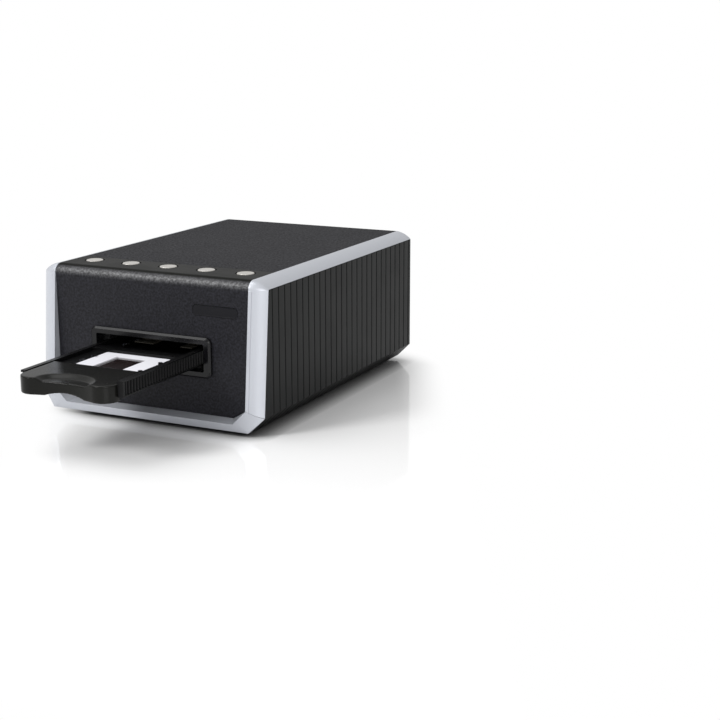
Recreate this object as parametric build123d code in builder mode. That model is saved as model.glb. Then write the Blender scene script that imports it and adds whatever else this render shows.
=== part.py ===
from build123d import *
from math import acos, ceil, cos, pi, radians, sin, sqrt, tan
import os

os.makedirs("parts", exist_ok=True)

# Frame: origin on the desk under the middle of the whole scanner with its holder out, +X to the
# right seen from the front, +Y to the back, +Z up. Millimetres.

# ---- Housing -------------------------------------------------------------------------------------
body_width = 175.0
body_depth = 240.0
body_height = 102.0
foot_height = 2.6  # desk to underside
side_wall = 2.3
plate_wall = 2.5
base_wall = 2.5
seam = 0.25  # gap between two neighbouring outer panels
holder_reach = 91.5  # from the housing to the grip's foremost point
rocker_proud = 2.4  # power switch behind the housing
contact_gap = 0.1  # gap inside, where one fixed piece seats beside another
overcut = 1.0  # how far a cut runs past the face that it opens
corner_share = tan(radians(45.0 / 2))  # inset of a 45 degree corner, for one unit of wall

half_width = body_width / 2
front_y = holder_reach - (holder_reach + body_depth + rocker_proud) / 2
rear_y = front_y + body_depth
top_z = body_height
base_z = foot_height
floor_z = base_z + base_wall  # upper face of the base plate

# ---- Silver frame: two trims and a sill ----------------------------------------------------------
band_width = 11.7  # across, on the top face and on the front
band_drop = 5.5  # from the ridge down to the side panel
band_bulge = 1.1  # how far its face stands out of a flat chamfer
band_inner_drop = 2.6  # depth of the band's inner edge
band_flange = 7.0  # flange behind the side panel
band_flange_lap = 1.0  # of the flange into the band
ledge_width = 4.0  # shelf under the top cover
ledge_wall = 2.0
front_lean = 5.2  # degrees the front band leans back
edge_radius = 6.6  # rounding from the front to the top
lower_chamfer = 10.2  # along the lower edges of the sides
sill_face = 5.0  # height of the sill's front face
sill_arc_share = 0.54  # where the sill's face turns, along its mitre
sill_inset = 11.3  # how far the inner lower corner lies inside the chamfer's foot
sill_lip_drop = 0.6
sill_ledge_run = 4.0
panel_corner_rise = 0.6
sill_draft = 0.4  # of its inner wall, at the trims
panel_setback = 8.0  # front panel behind the foremost line
tongue_depth = 4.0  # sill behind the front panel's face
sill_side_wall = 2.65  # measured along the mitre
sill_tongue = 6.5  # measured along the lower mitre, clears the base plate

band_x = half_width - band_width
chamfer_z = base_z + lower_chamfer
chamfer_x = half_width - lower_chamfer
mitre_rise = band_width * corner_share - seam
mitre_z = chamfer_z + mitre_rise  # inner end of the mitre between trim and sill
lean = tan(radians(front_lean))
band_normal_y = 1 / cos(radians(front_lean))
panel_y = front_y + panel_setback
panel_back_y = panel_y + plate_wall
tongue_y = panel_y + tongue_depth
side_seam_y = front_y - mitre_rise * lean + band_drop * band_normal_y

# ---- Top -----------------------------------------------------------------------------------------
cover_wall = 2.5
cover_seam_y = front_y + 42.8  # between the control strip and the top cover
corner_run = 4.0  # depth of the curved wall behind the rounded front edge
cover_x = band_x - seam
cover_rib_height = 4.0
cover_rib_wall = 2.0
cover_rib_x = 30.0
cover_rib_inset = 10.0  # of the ribs, behind the seam
pillar_x = half_width - 20.5
pillar_radius = 3.5
pillar_collar = 1.5
pillar_rows = (front_y + 90.0, rear_y - 35.0)

# ---- Buttons -------------------------------------------------------------------------------------
button_radius = 5.8
button_gap = 0.3
button_count = 5
button_margin = 12.5  # from the housing's side to the first button's share
button_pitch = (body_width - 2 * button_margin) / button_count
button_y = front_y + 31.6
button_proud = 0.3
button_edge = 0.5
button_dish = 0.35  # the cap is slightly dished
button_flange_radius = 7.0
button_flange_wall = 1.0
button_travel = 1.2
button_stem_radius = 2.0
button_stem = 7.0  # below the flange
button_board_half = 8.0
button_board_margin = 5.0
tact_half = 3.0
tact_height = 1.8
tact_plunger = 1.4
tact_plunger_radius = 1.6
well_radius = 6.9
well_depth = 0.5

# ---- Slot, bezel and badge -----------------------------------------------------------------------
slot_z = 48.2
slot_margin = 45.2  # from the housing's side to the slot
slot_width = body_width - 2 * slot_margin
slot_height = 18.9
bezel_width = slot_width + 9.6
bezel_height = slot_height + 8.5
bezel_proud = 3.1
bezel_corner = 4.0
bezel_bevel = 1.3
bezel_sleeve = 1.7
bezel_sleeve_depth = 6.0
slot_corner = 1.2
badge_x = half_width - 37.5
badge_z = body_height - 22.2
badge_width = 33.5
badge_height = 6.9
badge_corner = 2.0
badge_wall = 1.0
badge_pocket = 0.9

# ---- Film holder ---------------------------------------------------------------------------------
holder_out = holder_reach - 8.5  # tray in front of the housing
holder_front_y = front_y - holder_out
holder_rear_y = rear_y - 17.0
tray_half = slot_width / 2 - 4.8
tray_floor_z = slot_z - 3.2
tray_land_z = tray_floor_z + 3.3
pocket_floor_z = tray_floor_z + 1.5
rack_line_x = tray_half + 1.5  # pitch line of the rack
rack_wall_inner = rack_line_x - 3.2
wall_foot_z = tray_floor_z - 1.9
rack_top_z = tray_floor_z + 8.4
rack_lip = 0.8
rack_block = 2.0  # plain block ahead of the first tooth
rail_wall = 2.0
rail_top_z = tray_floor_z + 5.8
rail_lip_x = tray_half + 3.4
rail_lip_wall = 1.4
rail_front_y = holder_front_y + 5.4
bay_count = 4
bay_pitch = 62.0
bay_first_y = holder_front_y + 51.0
mount_side = 50.0
mount_wall = 2.0
mount_corner = 1.5
mount_window_x = 23.0
mount_window_y = 35.0
bay_gap = 0.3
window_x = 26.0
window_y = 38.0
divider_wall = 2.0  # height over the land
divider_run = 8.6
film_x = 25.6
film_y = 37.2
film_wall = 0.2
film_gap = 0.04
clip_row_y = 11.5
clip_radius = 1.5
clip_foot = 1.2  # from the pocket's edge to the middle of a clip's foot
clip_overlap = 0.9
clip_wall = 1.0
clip_gap = 0.1

# ---- Grip ----------------------------------------------------------------------------------------
grip_half = tray_half - 2.0
grip_top_z = tray_floor_z + 6.0
grip_bottom_z = tray_floor_z - 5.2
grip_back_y = holder_front_y + 33.0
grip_lap_z = tray_floor_z + 3.9  # underside over the slide mount
grip_block_y = holder_front_y + 4.0
grip_bulge_y = front_y - holder_reach
grip_waist_y = holder_front_y - 4.4
grip_corner = 10.0
scoop_y = holder_front_y - 4.0
scoop_radius_x = 21.0
scoop_radius_y = 14.0
scoop_depth = 2.2
scoop_slope = 4.5  # run of its sloping wall
arch_half = 15.0
arch_rise = 2.4

# ---- Feed deck height ----------------------------------------------------------------------------
deck_z = slot_z - 11.2  # underside

# ---- Feed drive ----------------------------------------------------------------------------------
pressure_angle = 25.0
tooth_backlash = 0.12  # taken off each tooth, at the pitch line
rack_module = 1.0
rack_addendum = 0.9
pinion_teeth = 12
drive_module = 0.8
drive_addendum = 0.72
drive_teeth = 42
motor_teeth = 15
dedendum_share = 1.25
feed_y = front_y + 48.0
shaft_radius = 2.0
shaft_end = 1.0
bracket_wall = 2.0
bracket_half_y = 23.5
standoff_radius = 2.5
standoff_edge = 2.5
standoff_x = 9.0
standoff_y = 20.0
standoff_near_y = 13.0
motor_radius = 12.5
motor_height = 17.0
motor_boss_radius = 4.0
motor_ear_reach = 16.5
motor_ear_half = 3.5
motor_ear_wall = 1.0
motor_shaft_end = 0.4
motor_can_wall = 1.0
motor_can_round = 1.2
motor_screw_length = 5.0
motor_shaft_radius = 1.5
bush_radius = 4.0
bush_flange_radius = 5.5
bush_flange_wall = 0.8
running_gap = 0.05
gear_side_gap = 0.5
drive_gear_z = deck_z - 4.4
drive_gear_wall = 3.6

rack_pitch = pi * rack_module
feed_x = rack_line_x + rack_module * pinion_teeth / 2
motor_x = feed_x + drive_module * (drive_teeth + motor_teeth) / 2

# ---- Deck and guides -----------------------------------------------------------------------------
deck_wall = 2.5
deck_margin = 29.5  # from the housing's side
deck_half = half_width - deck_margin
deck_front_y = panel_back_y + 3.5
deck_rear_y = rear_y - 8.0
deck_tab_x = half_width - 3.5
deck_tab_half = 24.0
deck_post_radius = 3.5
deck_post_inset = 5.0
deck_rear_inset = 4.0
front_post_x = deck_half - deck_post_inset
rear_post_x = 19.0  # between the sockets, behind the optics bench
front_post_y = deck_front_y + deck_post_inset
rear_post_y = deck_rear_y - deck_rear_inset
deck_posts = (
    (front_post_x, front_post_y),
    (-front_post_x, front_post_y),
    (rear_post_x, rear_post_y),
    (-rear_post_x, rear_post_y),
)
runner_x = tray_half - 4.5
runner_wall = 3.0
slide_gap = 0.2
guide_wall = 3.0
guide_gap = 0.5
guide_top_z = slot_z + 7.2
guide_lip = 3.4
guide_front_y = deck_front_y + 0.6
guide_rear_y = deck_rear_y - 1.0
pinion_port = 10.0

deck_top_z = deck_z + deck_wall

# ---- Hold-down springs ---------------------------------------------------------------------------
bridge_front_y = deck_front_y + 15.0
bridge_run = 7.0
bridge_wall = 2.0
bridge_overlap = 1.6
spring_wall = 0.4
spring_pad_run = 10.0
spring_pads = ((-18.0, -3.0), (18.0, 27.0))

# ---- Screws --------------------------------------------------------------------------------------
screw_radius = 1.5
screw_head_radius = 2.9
screw_head = 1.8
screw_length = 9.0
screw_gap = 0.05

# ---- Feet ----------------------------------------------------------------------------------------
foot_radius = 6.5
foot_pocket = 0.9
foot_margin = 29.5  # from the housing's side
foot_front = 28.0
foot_rear = 22.0
foot_x = half_width - foot_margin
foot_rows = (front_y + foot_front, rear_y - foot_rear)

# ---- Scanning light and optics -------------------------------------------------------------------
scan_depth = 100.0  # from the front of the housing
scan_y = front_y + scan_depth
scan_slit_x = 40.0
scan_slit_y = 8.0
lamp_half_x = 32.0
lamp_half_y = 23.0
lamp_flange_wall = 2.4
lamp_height = 28.0
lamp_wall = 2.0
diffuser_wall = 2.0
diffuser_margin = 3.0
led_board_wall = 1.6
led_board_half = 8.0
led_board_margin = 2.0
led_size = 3.0
led_height = 1.2
led_count = 6
led_pitch = 7.0
bench_half = 24.0
bench_wall = 4.0
bench_front_y = scan_y - 18.0
bench_rear_y = rear_y - 20.0
optic_z = 22.0
mirror_wall = 2.0
mirror_half = 19.0
mirror_reach = 11.0
lens_radius = 11.0
lens_bore = 8.0
lens_distance = 34.0  # from the middle of the mirror
lens_length = 42.0
lens_block_inset = 10.0  # behind the front of the barrel
lens_front_y = scan_y + lens_distance
lens_rear_y = lens_front_y + lens_length
lens_block_y = lens_front_y + lens_block_inset
lens_block_depth = 20.0
lens_block_half = 16.0
lens_block_wall = 2.0
lens_element_wall = 3.0
lens_element_inset = 2.0
sensor_board_y = bench_rear_y - 10.0
sensor_board_half = 23.0
sensor_board_height = 26.0
sensor_half = 19.0
sensor_height = 8.0
sensor_wall = 2.5
upstand_wall = 4.0

# ---- Electronics and rear panel ------------------------------------------------------------------
board_wall = 1.6
board_left_x = -half_width + 25.5
board_right_x = -bench_half - 4.0
board_front_y = rear_y - 92.0
board_rear_y = rear_y - 16.5
board_post_inset = 4.0
board_post_run = 60.0
board_z = 14.0
board_post_radius = 2.5
rear_face_y = rear_y - 1.0
rear_wall = 2.5
rear_inset = 0.3
jack_x = board_left_x + 5.0
chip_size = 16.0
chip_row = 24.0  # from the board's front to the largest chip, and on to the next one
chip_edge = 1.0
chip_height = 1.6
capacitor_count = 3
capacitor_pitch = 12.0
capacitor_height = 9.0
capacitor_radius = 3.0
jack_width = 9.0
jack_height = 11.0
jack_length = 13.0
jack_bore = 3.2
jack_bore_depth = 10.0
jack_pin_radius = 1.0
usb_x = board_right_x - 7.5
usb_width = 12.0
usb_height = 10.8
usb_wall = 0.8
usb_tongue = 3.2
usb_length = 16.0
usb_back_wall = 4.0
usb_tongue_end = 1.0  # behind the mouth
switch_x = half_width - 19.5
switch_z = 26.0
switch_width = 13.0
switch_height = 19.0
switch_depth = 14.0
switch_rim = 1.2
switch_recess = 7.0
pivot_depth = 2.0  # of the rocker's pivot behind the panel
rocker_gap = 0.3
rocker_nose = 1.0
rocker_keel = 1.8
rocker_pivot_radius = 1.2
vent_rows = 5
vent_pitch = 5.0
vent_width = slot_width - 14.6
vent_slot = 2.0
vent_z = body_height - 32.0

# ---- Side panel flutes ---------------------------------------------------------------------------
flute_pitch = 8.4
flute_width = 1.0
flute_depth = 0.5
panel_corner_cut = 1.4  # of the panel's upper front corner


def box_between(low, high, mode=Mode.ADD):
    """A block given by its lowest and highest corners."""
    size = [high[i] - low[i] for i in range(3)]
    middle = [(high[i] + low[i]) / 2 for i in range(3)]
    with Locations(tuple(middle)):
        Box(*size, mode=mode)


def post(x, y, low, high, radius, mode=Mode.ADD):
    """An upright round post."""
    with Locations((x, y, (low + high) / 2)):
        Cylinder(radius, high - low, mode=mode)


def hand_in(builder, name):
    """Labels one finished piece and writes its STEP file."""
    builder.part.label = name
    export_step(builder.part, "parts/" + name + ".step")


def involute(angle):
    return tan(angle) - angle


def tooth_flank(module, teeth, addendum):
    """Radius and half angle of one gear tooth, from its root to its tip."""
    pitch_radius = module * teeth / 2
    base_radius = pitch_radius * cos(radians(pressure_angle))
    root_radius = pitch_radius - dedendum_share * module
    tip_radius = pitch_radius + addendum
    pitch_half = (pi * module / 2 - tooth_backlash) / (module * teeth)
    base_half = pitch_half + involute(radians(pressure_angle))
    flank = [(root_radius, base_half)]
    if root_radius > base_radius:
        flank = []
    start = max(root_radius, base_radius)
    steps = 4
    for step in range(steps + 1):
        radius = start + (tip_radius - start) * step / steps
        flank.append((radius, base_half - involute(acos(base_radius / radius))))
    return flank


def gear_outline(module, teeth, addendum):
    """Points of a spur gear with its first tooth on +X."""
    flank = tooth_flank(module, teeth, addendum)
    points = []
    for tooth in range(teeth):
        middle = 2 * pi * tooth / teeth
        rising = [(radius, middle - half) for radius, half in flank]
        falling = [(radius, middle + half) for radius, half in reversed(flank)]
        points += [(radius * cos(angle), radius * sin(angle)) for radius, angle in rising + falling]
    return points


def spur_gear(x, y, low, high, outline, bore):
    """A gear with an upright axis, with its bore."""
    with BuildSketch(Plane((x, y, low))) as gear_face:
        Polygon(*outline, align=None)
        Circle(bore, mode=Mode.SUBTRACT)
    extrude(gear_face.sketch, amount=high - low)


def screw_pattern(places, head_z, up):
    """Round-headed screws; up is 1 where the head lies above the shank, or -1."""
    for x, y in places:
        post(x, y, min(head_z, head_z + up * screw_head), max(head_z, head_z + up * screw_head),
             screw_head_radius)
        post(x, y, min(head_z, head_z - up * screw_length), max(head_z, head_z - up * screw_length),
             screw_radius)


# ==== Silver trims ================================================================================
ridge_top_y = front_y + (top_z - mitre_z) * lean
trim_foot_z = mitre_z - mitre_rise - band_drop
with BuildPart() as right_trim:
    with BuildLine() as trim_path:
        FilletPolyline(
            (0, rear_y, top_z),
            (0, ridge_top_y, top_z),
            (0, front_y + (trim_foot_z - mitre_z) * lean, trim_foot_z),
            radius=edge_radius,
        )
    with BuildSketch(Plane(origin=(band_x, rear_y, top_z), x_dir=(1, 0, 0), z_dir=(0, -1, 0))):
        with BuildLine():
            SagittaArc((0, 0), (band_width, -band_drop), band_bulge)
            Line((band_width, -band_drop), (band_width - side_wall, -band_drop))
            SagittaArc(
                (0, -band_inner_drop), (band_width - side_wall, -band_drop), band_bulge / 2
            )
            Line((0, -band_inner_drop), (0, 0))
        make_face()
    sweep(path=trim_path.wire())
    # inner wall beside the recessed front panel
    wall_top_z = top_z - edge_radius
    with BuildSketch(Plane.YZ.offset(band_x)):
        with BuildLine():
            Polyline(
                (front_y + (trim_foot_z - mitre_z) * lean, trim_foot_z),
                (front_y + (wall_top_z - mitre_z) * lean, wall_top_z),
                (tongue_y, wall_top_z),
                (tongue_y, trim_foot_z),
                close=True,
            )
        make_face()
    extrude(amount=side_wall)
    # shelf for the cover, and the flange behind the side panel
    ledge_z = top_z - cover_wall - contact_gap
    ledge_rear_y = rear_face_y - rear_wall - seam
    box_between(
        (band_x - ledge_width, panel_back_y + corner_run + seam, ledge_z - ledge_wall),
        (band_x + side_wall, ledge_rear_y, ledge_z),
    )
    box_between(
        (half_width - 2 * side_wall, tongue_y, top_z - band_drop - band_flange),
        (half_width - side_wall - contact_gap, ledge_rear_y, top_z - band_drop + band_flange_lap),
    )
    mitre_plane = Plane(
        origin=(band_x, 0, mitre_z), x_dir=(band_width, 0, -mitre_rise), z_dir=(mitre_rise, 0, band_width)
    )
    split(bisect_by=mitre_plane.offset(seam / 2), keep=Keep.TOP)
hand_in(right_trim, "right_trim")

with BuildPart() as left_trim:
    mirror(right_trim.part, about=Plane.YZ)
hand_in(left_trim, "left_trim")

# ==== Front sill ==================================================================================
sill_top_x = chamfer_x - sill_inset
mitre_length = sqrt(band_width**2 + mitre_rise**2)
sill_mitre_length = sqrt(sill_inset**2 + sill_face**2)
sill_back_y = side_seam_y - seam / 2


def sill_section(side, inner_x, inner_z, run, drop, length, middle_y, outer_y, wall, ledge):
    """One mitre section of the sill, in the plane from its inner to its outer edge."""
    plane = Plane(
        origin=(side * inner_x, 0, inner_z), x_dir=(side * run, 0, -drop), z_dir=(drop, 0, side * run)
    )
    with BuildSketch(plane) as section:
        with BuildLine():
            ThreePointArc((0, front_y), (length * sill_arc_share, middle_y), (length, outer_y))
            Polyline(
                (length, outer_y),
                (length, sill_back_y),
                (length - wall, sill_back_y),
                (length - wall, tongue_y),
                (-ledge, tongue_y),
                (-ledge, panel_y - contact_gap),
                (0, front_y),
            )
        make_face()
    return section.sketch


with BuildPart() as front_sill:
    foot_share = sill_face / sill_mitre_length
    upper = sill_section(
        1, band_x, mitre_z - seam / 2, band_width, mitre_rise, mitre_length,
        front_y + band_drop / 2 - band_bulge, side_seam_y - seam, sill_side_wall, sill_draft,
    )
    lower = sill_section(
        1, sill_top_x, base_z + sill_face, sill_inset, sill_face, sill_mitre_length,
        front_y + sill_lip_drop / 4, front_y + sill_lip_drop, sill_tongue, sill_ledge_run,
    )
    middle = sill_section(
        1, 0, base_z + sill_face, 0, 1, sill_face,
        front_y + sill_lip_drop / 4, front_y + sill_lip_drop,
        sill_tongue * foot_share, sill_ledge_run * foot_share,
    )
    loft(sections=[upper, lower, middle], ruled=True)
    mirror(about=Plane.YZ)
hand_in(front_sill, "front_sill")

# ==== Side panels =================================================================================
panel_top_z = top_z - band_drop - seam
panel_front_low_y = side_seam_y + seam / 2
panel_front_top_y = side_seam_y + (panel_top_z - chamfer_z) * lean + seam / 2
inner_chamfer_z = chamfer_z + side_wall * corner_share
foot_end_z = base_z + side_wall * sqrt(2)


def flute_cutter(x_out):
    """Outline between the panel's outer face and the bottom of a flute."""
    return [
        (half_width + x_out, panel_top_z + x_out),
        (half_width + x_out, chamfer_z),
        (chamfer_x, base_z - x_out),
        (chamfer_x - flute_depth, base_z),
        (half_width - flute_depth, chamfer_z + flute_depth * corner_share),
        (half_width - flute_depth, panel_top_z + x_out),
    ]


with BuildPart() as right_side_panel:
    with BuildSketch(Plane.XZ.offset(-rear_y)):
        Polygon(
            (half_width, panel_top_z),
            (half_width, chamfer_z),
            (chamfer_x, base_z),
            (chamfer_x, foot_end_z),
            (half_width - side_wall, inner_chamfer_z),
            (half_width - side_wall, panel_top_z),
            align=None,
        )
    extrude(amount=body_depth)
    with BuildSketch(Plane.YZ):
        Polygon(
            (front_y - overcut, base_z - overcut),
            (panel_front_low_y, base_z - overcut),
            (panel_front_low_y, chamfer_z),
            (panel_front_top_y, panel_top_z - panel_corner_cut),
            (panel_front_top_y + panel_corner_cut, panel_top_z + overcut),
            (front_y - overcut, panel_top_z + overcut),
            align=None,
        )
    extrude(amount=body_width, mode=Mode.SUBTRACT)
    flute_count = int((rear_y - panel_front_top_y) / flute_pitch)
    for flute in range(flute_count):
        flute_y = rear_y - (flute + 0.5) * flute_pitch
        with BuildSketch(Plane.XZ.offset(-flute_y - flute_width / 2)):
            Polygon(*flute_cutter(overcut), align=None)
        extrude(amount=flute_width, mode=Mode.SUBTRACT)
hand_in(right_side_panel, "right_side_panel")

with BuildPart() as left_side_panel:
    mirror(right_side_panel.part, about=Plane.YZ)
hand_in(left_side_panel, "left_side_panel")

# ==== Base plate, feet and their screws ===========================================================
base_half = chamfer_x - seam
pillar_places = [(side * pillar_x, y) for side in (-1, 1) for y in pillar_rows]
foot_places = [(side * foot_x, y) for side in (-1, 1) for y in foot_rows]
board_post_y = board_front_y + board_post_inset
board_places = [
    (x, y)
    for x in (board_left_x + board_post_inset, board_right_x - board_post_inset)
    for y in (board_post_y, board_post_y + board_post_run)
]
head_pocket = screw_head + 2 * slide_gap

with BuildPart() as base_plate:
    box_between((-base_half, sill_back_y + seam, base_z), (base_half, rear_y, floor_z))
    for x, y in foot_places:
        post(x, y, base_z, base_z + foot_pocket, foot_radius + contact_gap, Mode.SUBTRACT)
    for x, y in deck_posts:
        post(x, y, floor_z, deck_z, deck_post_radius)
        post(x, y, deck_z - screw_length, deck_z, screw_radius + screw_gap, Mode.SUBTRACT)
    for x, y in board_places:
        post(x, y, floor_z, board_z, board_post_radius)
    for x, y in pillar_places:
        post(x, y, base_z, floor_z, screw_radius + screw_gap, Mode.SUBTRACT)
        post(x, y, floor_z, floor_z + head_pocket, pillar_radius + pillar_collar)
        post(x, y, floor_z, floor_z + head_pocket, screw_radius + screw_gap, Mode.SUBTRACT)
        post(x, y, base_z, base_z + head_pocket, screw_head_radius + contact_gap, Mode.SUBTRACT)
hand_in(base_plate, "base_plate")

with BuildPart() as rubber_feet:
    for x, y in foot_places:
        post(x, y, 0, base_z + foot_pocket, foot_radius)
hand_in(rubber_feet, "rubber_feet")

with BuildPart() as base_screws:
    screw_pattern(pillar_places, base_z + head_pocket, -1)
hand_in(base_screws, "base_screws")

# ==== Top cover ===================================================================================
cover_foot_z = top_z - cover_wall
pillar_foot_z = floor_z + head_pocket
with BuildPart() as top_cover:
    box_between((-cover_x, cover_seam_y + seam, cover_foot_z), (cover_x, rear_y, top_z))
    for side in (-1, 1):
        rib_x = side * cover_rib_x
        box_between(
            (rib_x - cover_rib_wall / 2, cover_seam_y + cover_rib_inset, cover_foot_z - cover_rib_height),
            (rib_x + cover_rib_wall / 2, rear_face_y - rear_wall - cover_rib_height, cover_foot_z),
        )
    for x, y in pillar_places:
        post(x, y, pillar_foot_z, cover_foot_z, pillar_radius)
        post(x, y, pillar_foot_z, pillar_foot_z + screw_length, screw_radius + screw_gap, Mode.SUBTRACT)
hand_in(top_cover, "top_cover")

# ==== Front panel with the control strip ==========================================================
panel_foot_z = base_z + sill_face + sill_face * sill_ledge_run / sill_mitre_length + seam
panel_corner_x = sill_top_x - sill_inset * sill_ledge_run / sill_mitre_length
panel_corner_z = mitre_z + panel_corner_rise
strip_foot_z = top_z - plate_wall
button_places = [
    ((index - (button_count - 1) / 2) * button_pitch, button_y) for index in range(button_count)
]
board_boss_x = [(index - button_count / 2) * button_pitch for index in range(1, button_count)]
bend_y = panel_back_y + corner_run  # ends of the curved wall behind the rounded front edge
bend_z = strip_foot_z - corner_run
flange_top_z = strip_foot_z - slide_gap
stem_foot_z = flange_top_z - button_flange_wall - button_stem
tact_z = stem_foot_z - button_travel - contact_gap - tact_plunger - tact_height
button_board_z = tact_z - board_wall
sleeve_width = slot_width + 2 * bezel_sleeve
sleeve_height = slot_height + 2 * bezel_sleeve

with BuildPart() as front_panel:
    with BuildSketch(Plane.YZ.offset(-cover_x)):
        with BuildLine():
            FilletPolyline(
                (panel_y, panel_foot_z),
                (panel_y, top_z),
                (cover_seam_y, top_z),
                radius=edge_radius,
            )
            Polyline((cover_seam_y, top_z), (cover_seam_y, strip_foot_z), (bend_y, strip_foot_z))
            RadiusArc((bend_y, strip_foot_z), (panel_back_y, bend_z), edge_radius - plate_wall)
            Polyline((panel_back_y, bend_z), (panel_back_y, panel_foot_z), (panel_y, panel_foot_z))
        make_face()
    extrude(amount=2 * cover_x)
    # lower corners beside the sill
    with BuildSketch(Plane.XZ.offset(-panel_back_y)):
        for side in (-1, 1):
            Polygon(
                (side * (panel_corner_x - seam), panel_foot_z - overcut),
                (side * (panel_corner_x - seam), panel_foot_z),
                (side * cover_x, panel_corner_z),
                (side * (cover_x + overcut), panel_corner_z),
                (side * (cover_x + overcut), panel_foot_z - overcut),
                align=None,
            )
    extrude(amount=plate_wall, mode=Mode.SUBTRACT)
    # slot, badge pocket, button holes and wells
    with BuildSketch(Plane.XZ.offset(-panel_back_y)):
        with Locations((0, slot_z)):
            RectangleRounded(sleeve_width + 2 * contact_gap, sleeve_height + 2 * contact_gap, bezel_sleeve)
    extrude(amount=plate_wall, mode=Mode.SUBTRACT)
    with BuildSketch(Plane.XZ.offset(-panel_y)):
        with Locations((badge_x, badge_z)):
            RectangleRounded(badge_width + 2 * seam, badge_height + 2 * seam, badge_corner + seam)
    extrude(amount=-badge_pocket, mode=Mode.SUBTRACT)
    for x, y in button_places:
        post(x, y, strip_foot_z, top_z, button_radius + button_gap, Mode.SUBTRACT)
        post(x, y, top_z - well_depth, top_z, well_radius, Mode.SUBTRACT)
    for x in board_boss_x:
        post(x, button_y - button_board_half / 2, tact_z, strip_foot_z, board_post_radius)
hand_in(front_panel, "front_panel")

with BuildPart() as badge_plate:
    with BuildSketch(Plane.XZ.offset(-panel_y - badge_pocket)):
        with Locations((badge_x, badge_z)):
            RectangleRounded(badge_width, badge_height, badge_corner)
    extrude(amount=badge_wall)
hand_in(badge_plate, "badge_plate")

with BuildPart() as slot_bezel:
    with BuildSketch(Plane.XZ.offset(-panel_y)):
        with Locations((0, slot_z)):
            RectangleRounded(bezel_width, bezel_height, bezel_corner)
    extrude(amount=bezel_proud)
    chamfer(slot_bezel.faces().sort_by(Axis.Y)[0].edges(), bezel_bevel)
    with BuildSketch(Plane.XZ.offset(-panel_y)):
        with Locations((0, slot_z)):
            RectangleRounded(sleeve_width, sleeve_height, bezel_sleeve)
    extrude(amount=-bezel_sleeve_depth)
    with BuildSketch(Plane.XZ.offset(-panel_y - bezel_sleeve_depth)):
        with Locations((0, slot_z)):
            RectangleRounded(slot_width, slot_height, slot_corner)
    extrude(amount=bezel_sleeve_depth + bezel_proud, mode=Mode.SUBTRACT)
hand_in(slot_bezel, "slot_bezel")

# ==== Buttons, their board and switches ===========================================================
for index, (x, y) in enumerate(button_places):
    with BuildPart() as button:
        post(x, y, flange_top_z, top_z + button_proud, button_radius)
        fillet(button.edges().group_by(Axis.Z)[-1], button_edge)
        dish_radius = (button_radius**2 + button_dish**2) / (2 * button_dish)
        with Locations((x, y, top_z + button_proud + dish_radius - button_dish)):
            Sphere(dish_radius, mode=Mode.SUBTRACT)
        post(x, y, flange_top_z - button_flange_wall, flange_top_z, button_flange_radius)
        post(x, y, stem_foot_z, flange_top_z, button_stem_radius)
    hand_in(button, "button_" + str(index + 1))

button_board_x = button_count / 2 * button_pitch - button_board_margin
with BuildPart() as button_board:
    box_between(
        (-button_board_x, button_y - button_board_half, button_board_z),
        (button_board_x, button_y + button_board_half, tact_z),
    )
hand_in(button_board, "button_board")

with BuildPart() as button_switches:
    for x, y in button_places:
        tact_top_z = tact_z + tact_height
        box_between((x - tact_half, y - tact_half, tact_z), (x + tact_half, y + tact_half, tact_top_z))
        post(x, y, tact_top_z, tact_top_z + tact_plunger, tact_plunger_radius)
hand_in(button_switches, "button_switches")

# ==== Rear panel ==================================================================================
board_face_z = board_z + board_wall
with BuildPart() as rear_panel:
    with BuildSketch(Plane.XZ.offset(-rear_face_y)):
        Polygon(
            (band_x - rear_inset, cover_foot_z - rear_inset),
            (half_width - side_wall - rear_inset, panel_top_z - rear_inset),
            (half_width - side_wall - rear_inset, inner_chamfer_z + rear_inset),
            (chamfer_x - side_wall * sqrt(2) + base_wall, floor_z + rear_inset),
            (-chamfer_x + side_wall * sqrt(2) - base_wall, floor_z + rear_inset),
            (-half_width + side_wall + rear_inset, inner_chamfer_z + rear_inset),
            (-half_width + side_wall + rear_inset, panel_top_z - rear_inset),
            (-band_x + rear_inset, cover_foot_z - rear_inset),
            align=None,
        )
        with Locations((0, slot_z)):
            RectangleRounded(slot_width, slot_height, slot_corner, mode=Mode.SUBTRACT)
        with Locations((jack_x, board_face_z + jack_height / 2)):
            Rectangle(jack_width + 2 * rear_inset, jack_height + 2 * rear_inset, mode=Mode.SUBTRACT)
        with Locations((usb_x, board_face_z + usb_height / 2)):
            Rectangle(usb_width + 2 * rear_inset, usb_height + 2 * rear_inset, mode=Mode.SUBTRACT)
        with Locations((switch_x, switch_z)):
            Rectangle(switch_width + 2 * contact_gap, switch_height + 2 * contact_gap, mode=Mode.SUBTRACT)
        with Locations((0, vent_z + vent_pitch * (vent_rows - 1) / 2)):
            with GridLocations(vent_width, vent_pitch, 1, vent_rows):
                SlotOverall(vent_width, vent_slot, mode=Mode.SUBTRACT)
    extrude(amount=rear_wall)
hand_in(rear_panel, "rear_panel")

# ==== Main board and its sockets ==================================================================
with BuildPart() as main_board:
    box_between((board_left_x, board_front_y, board_z), (board_right_x, board_rear_y, board_face_z))
hand_in(main_board, "main_board")

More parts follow.
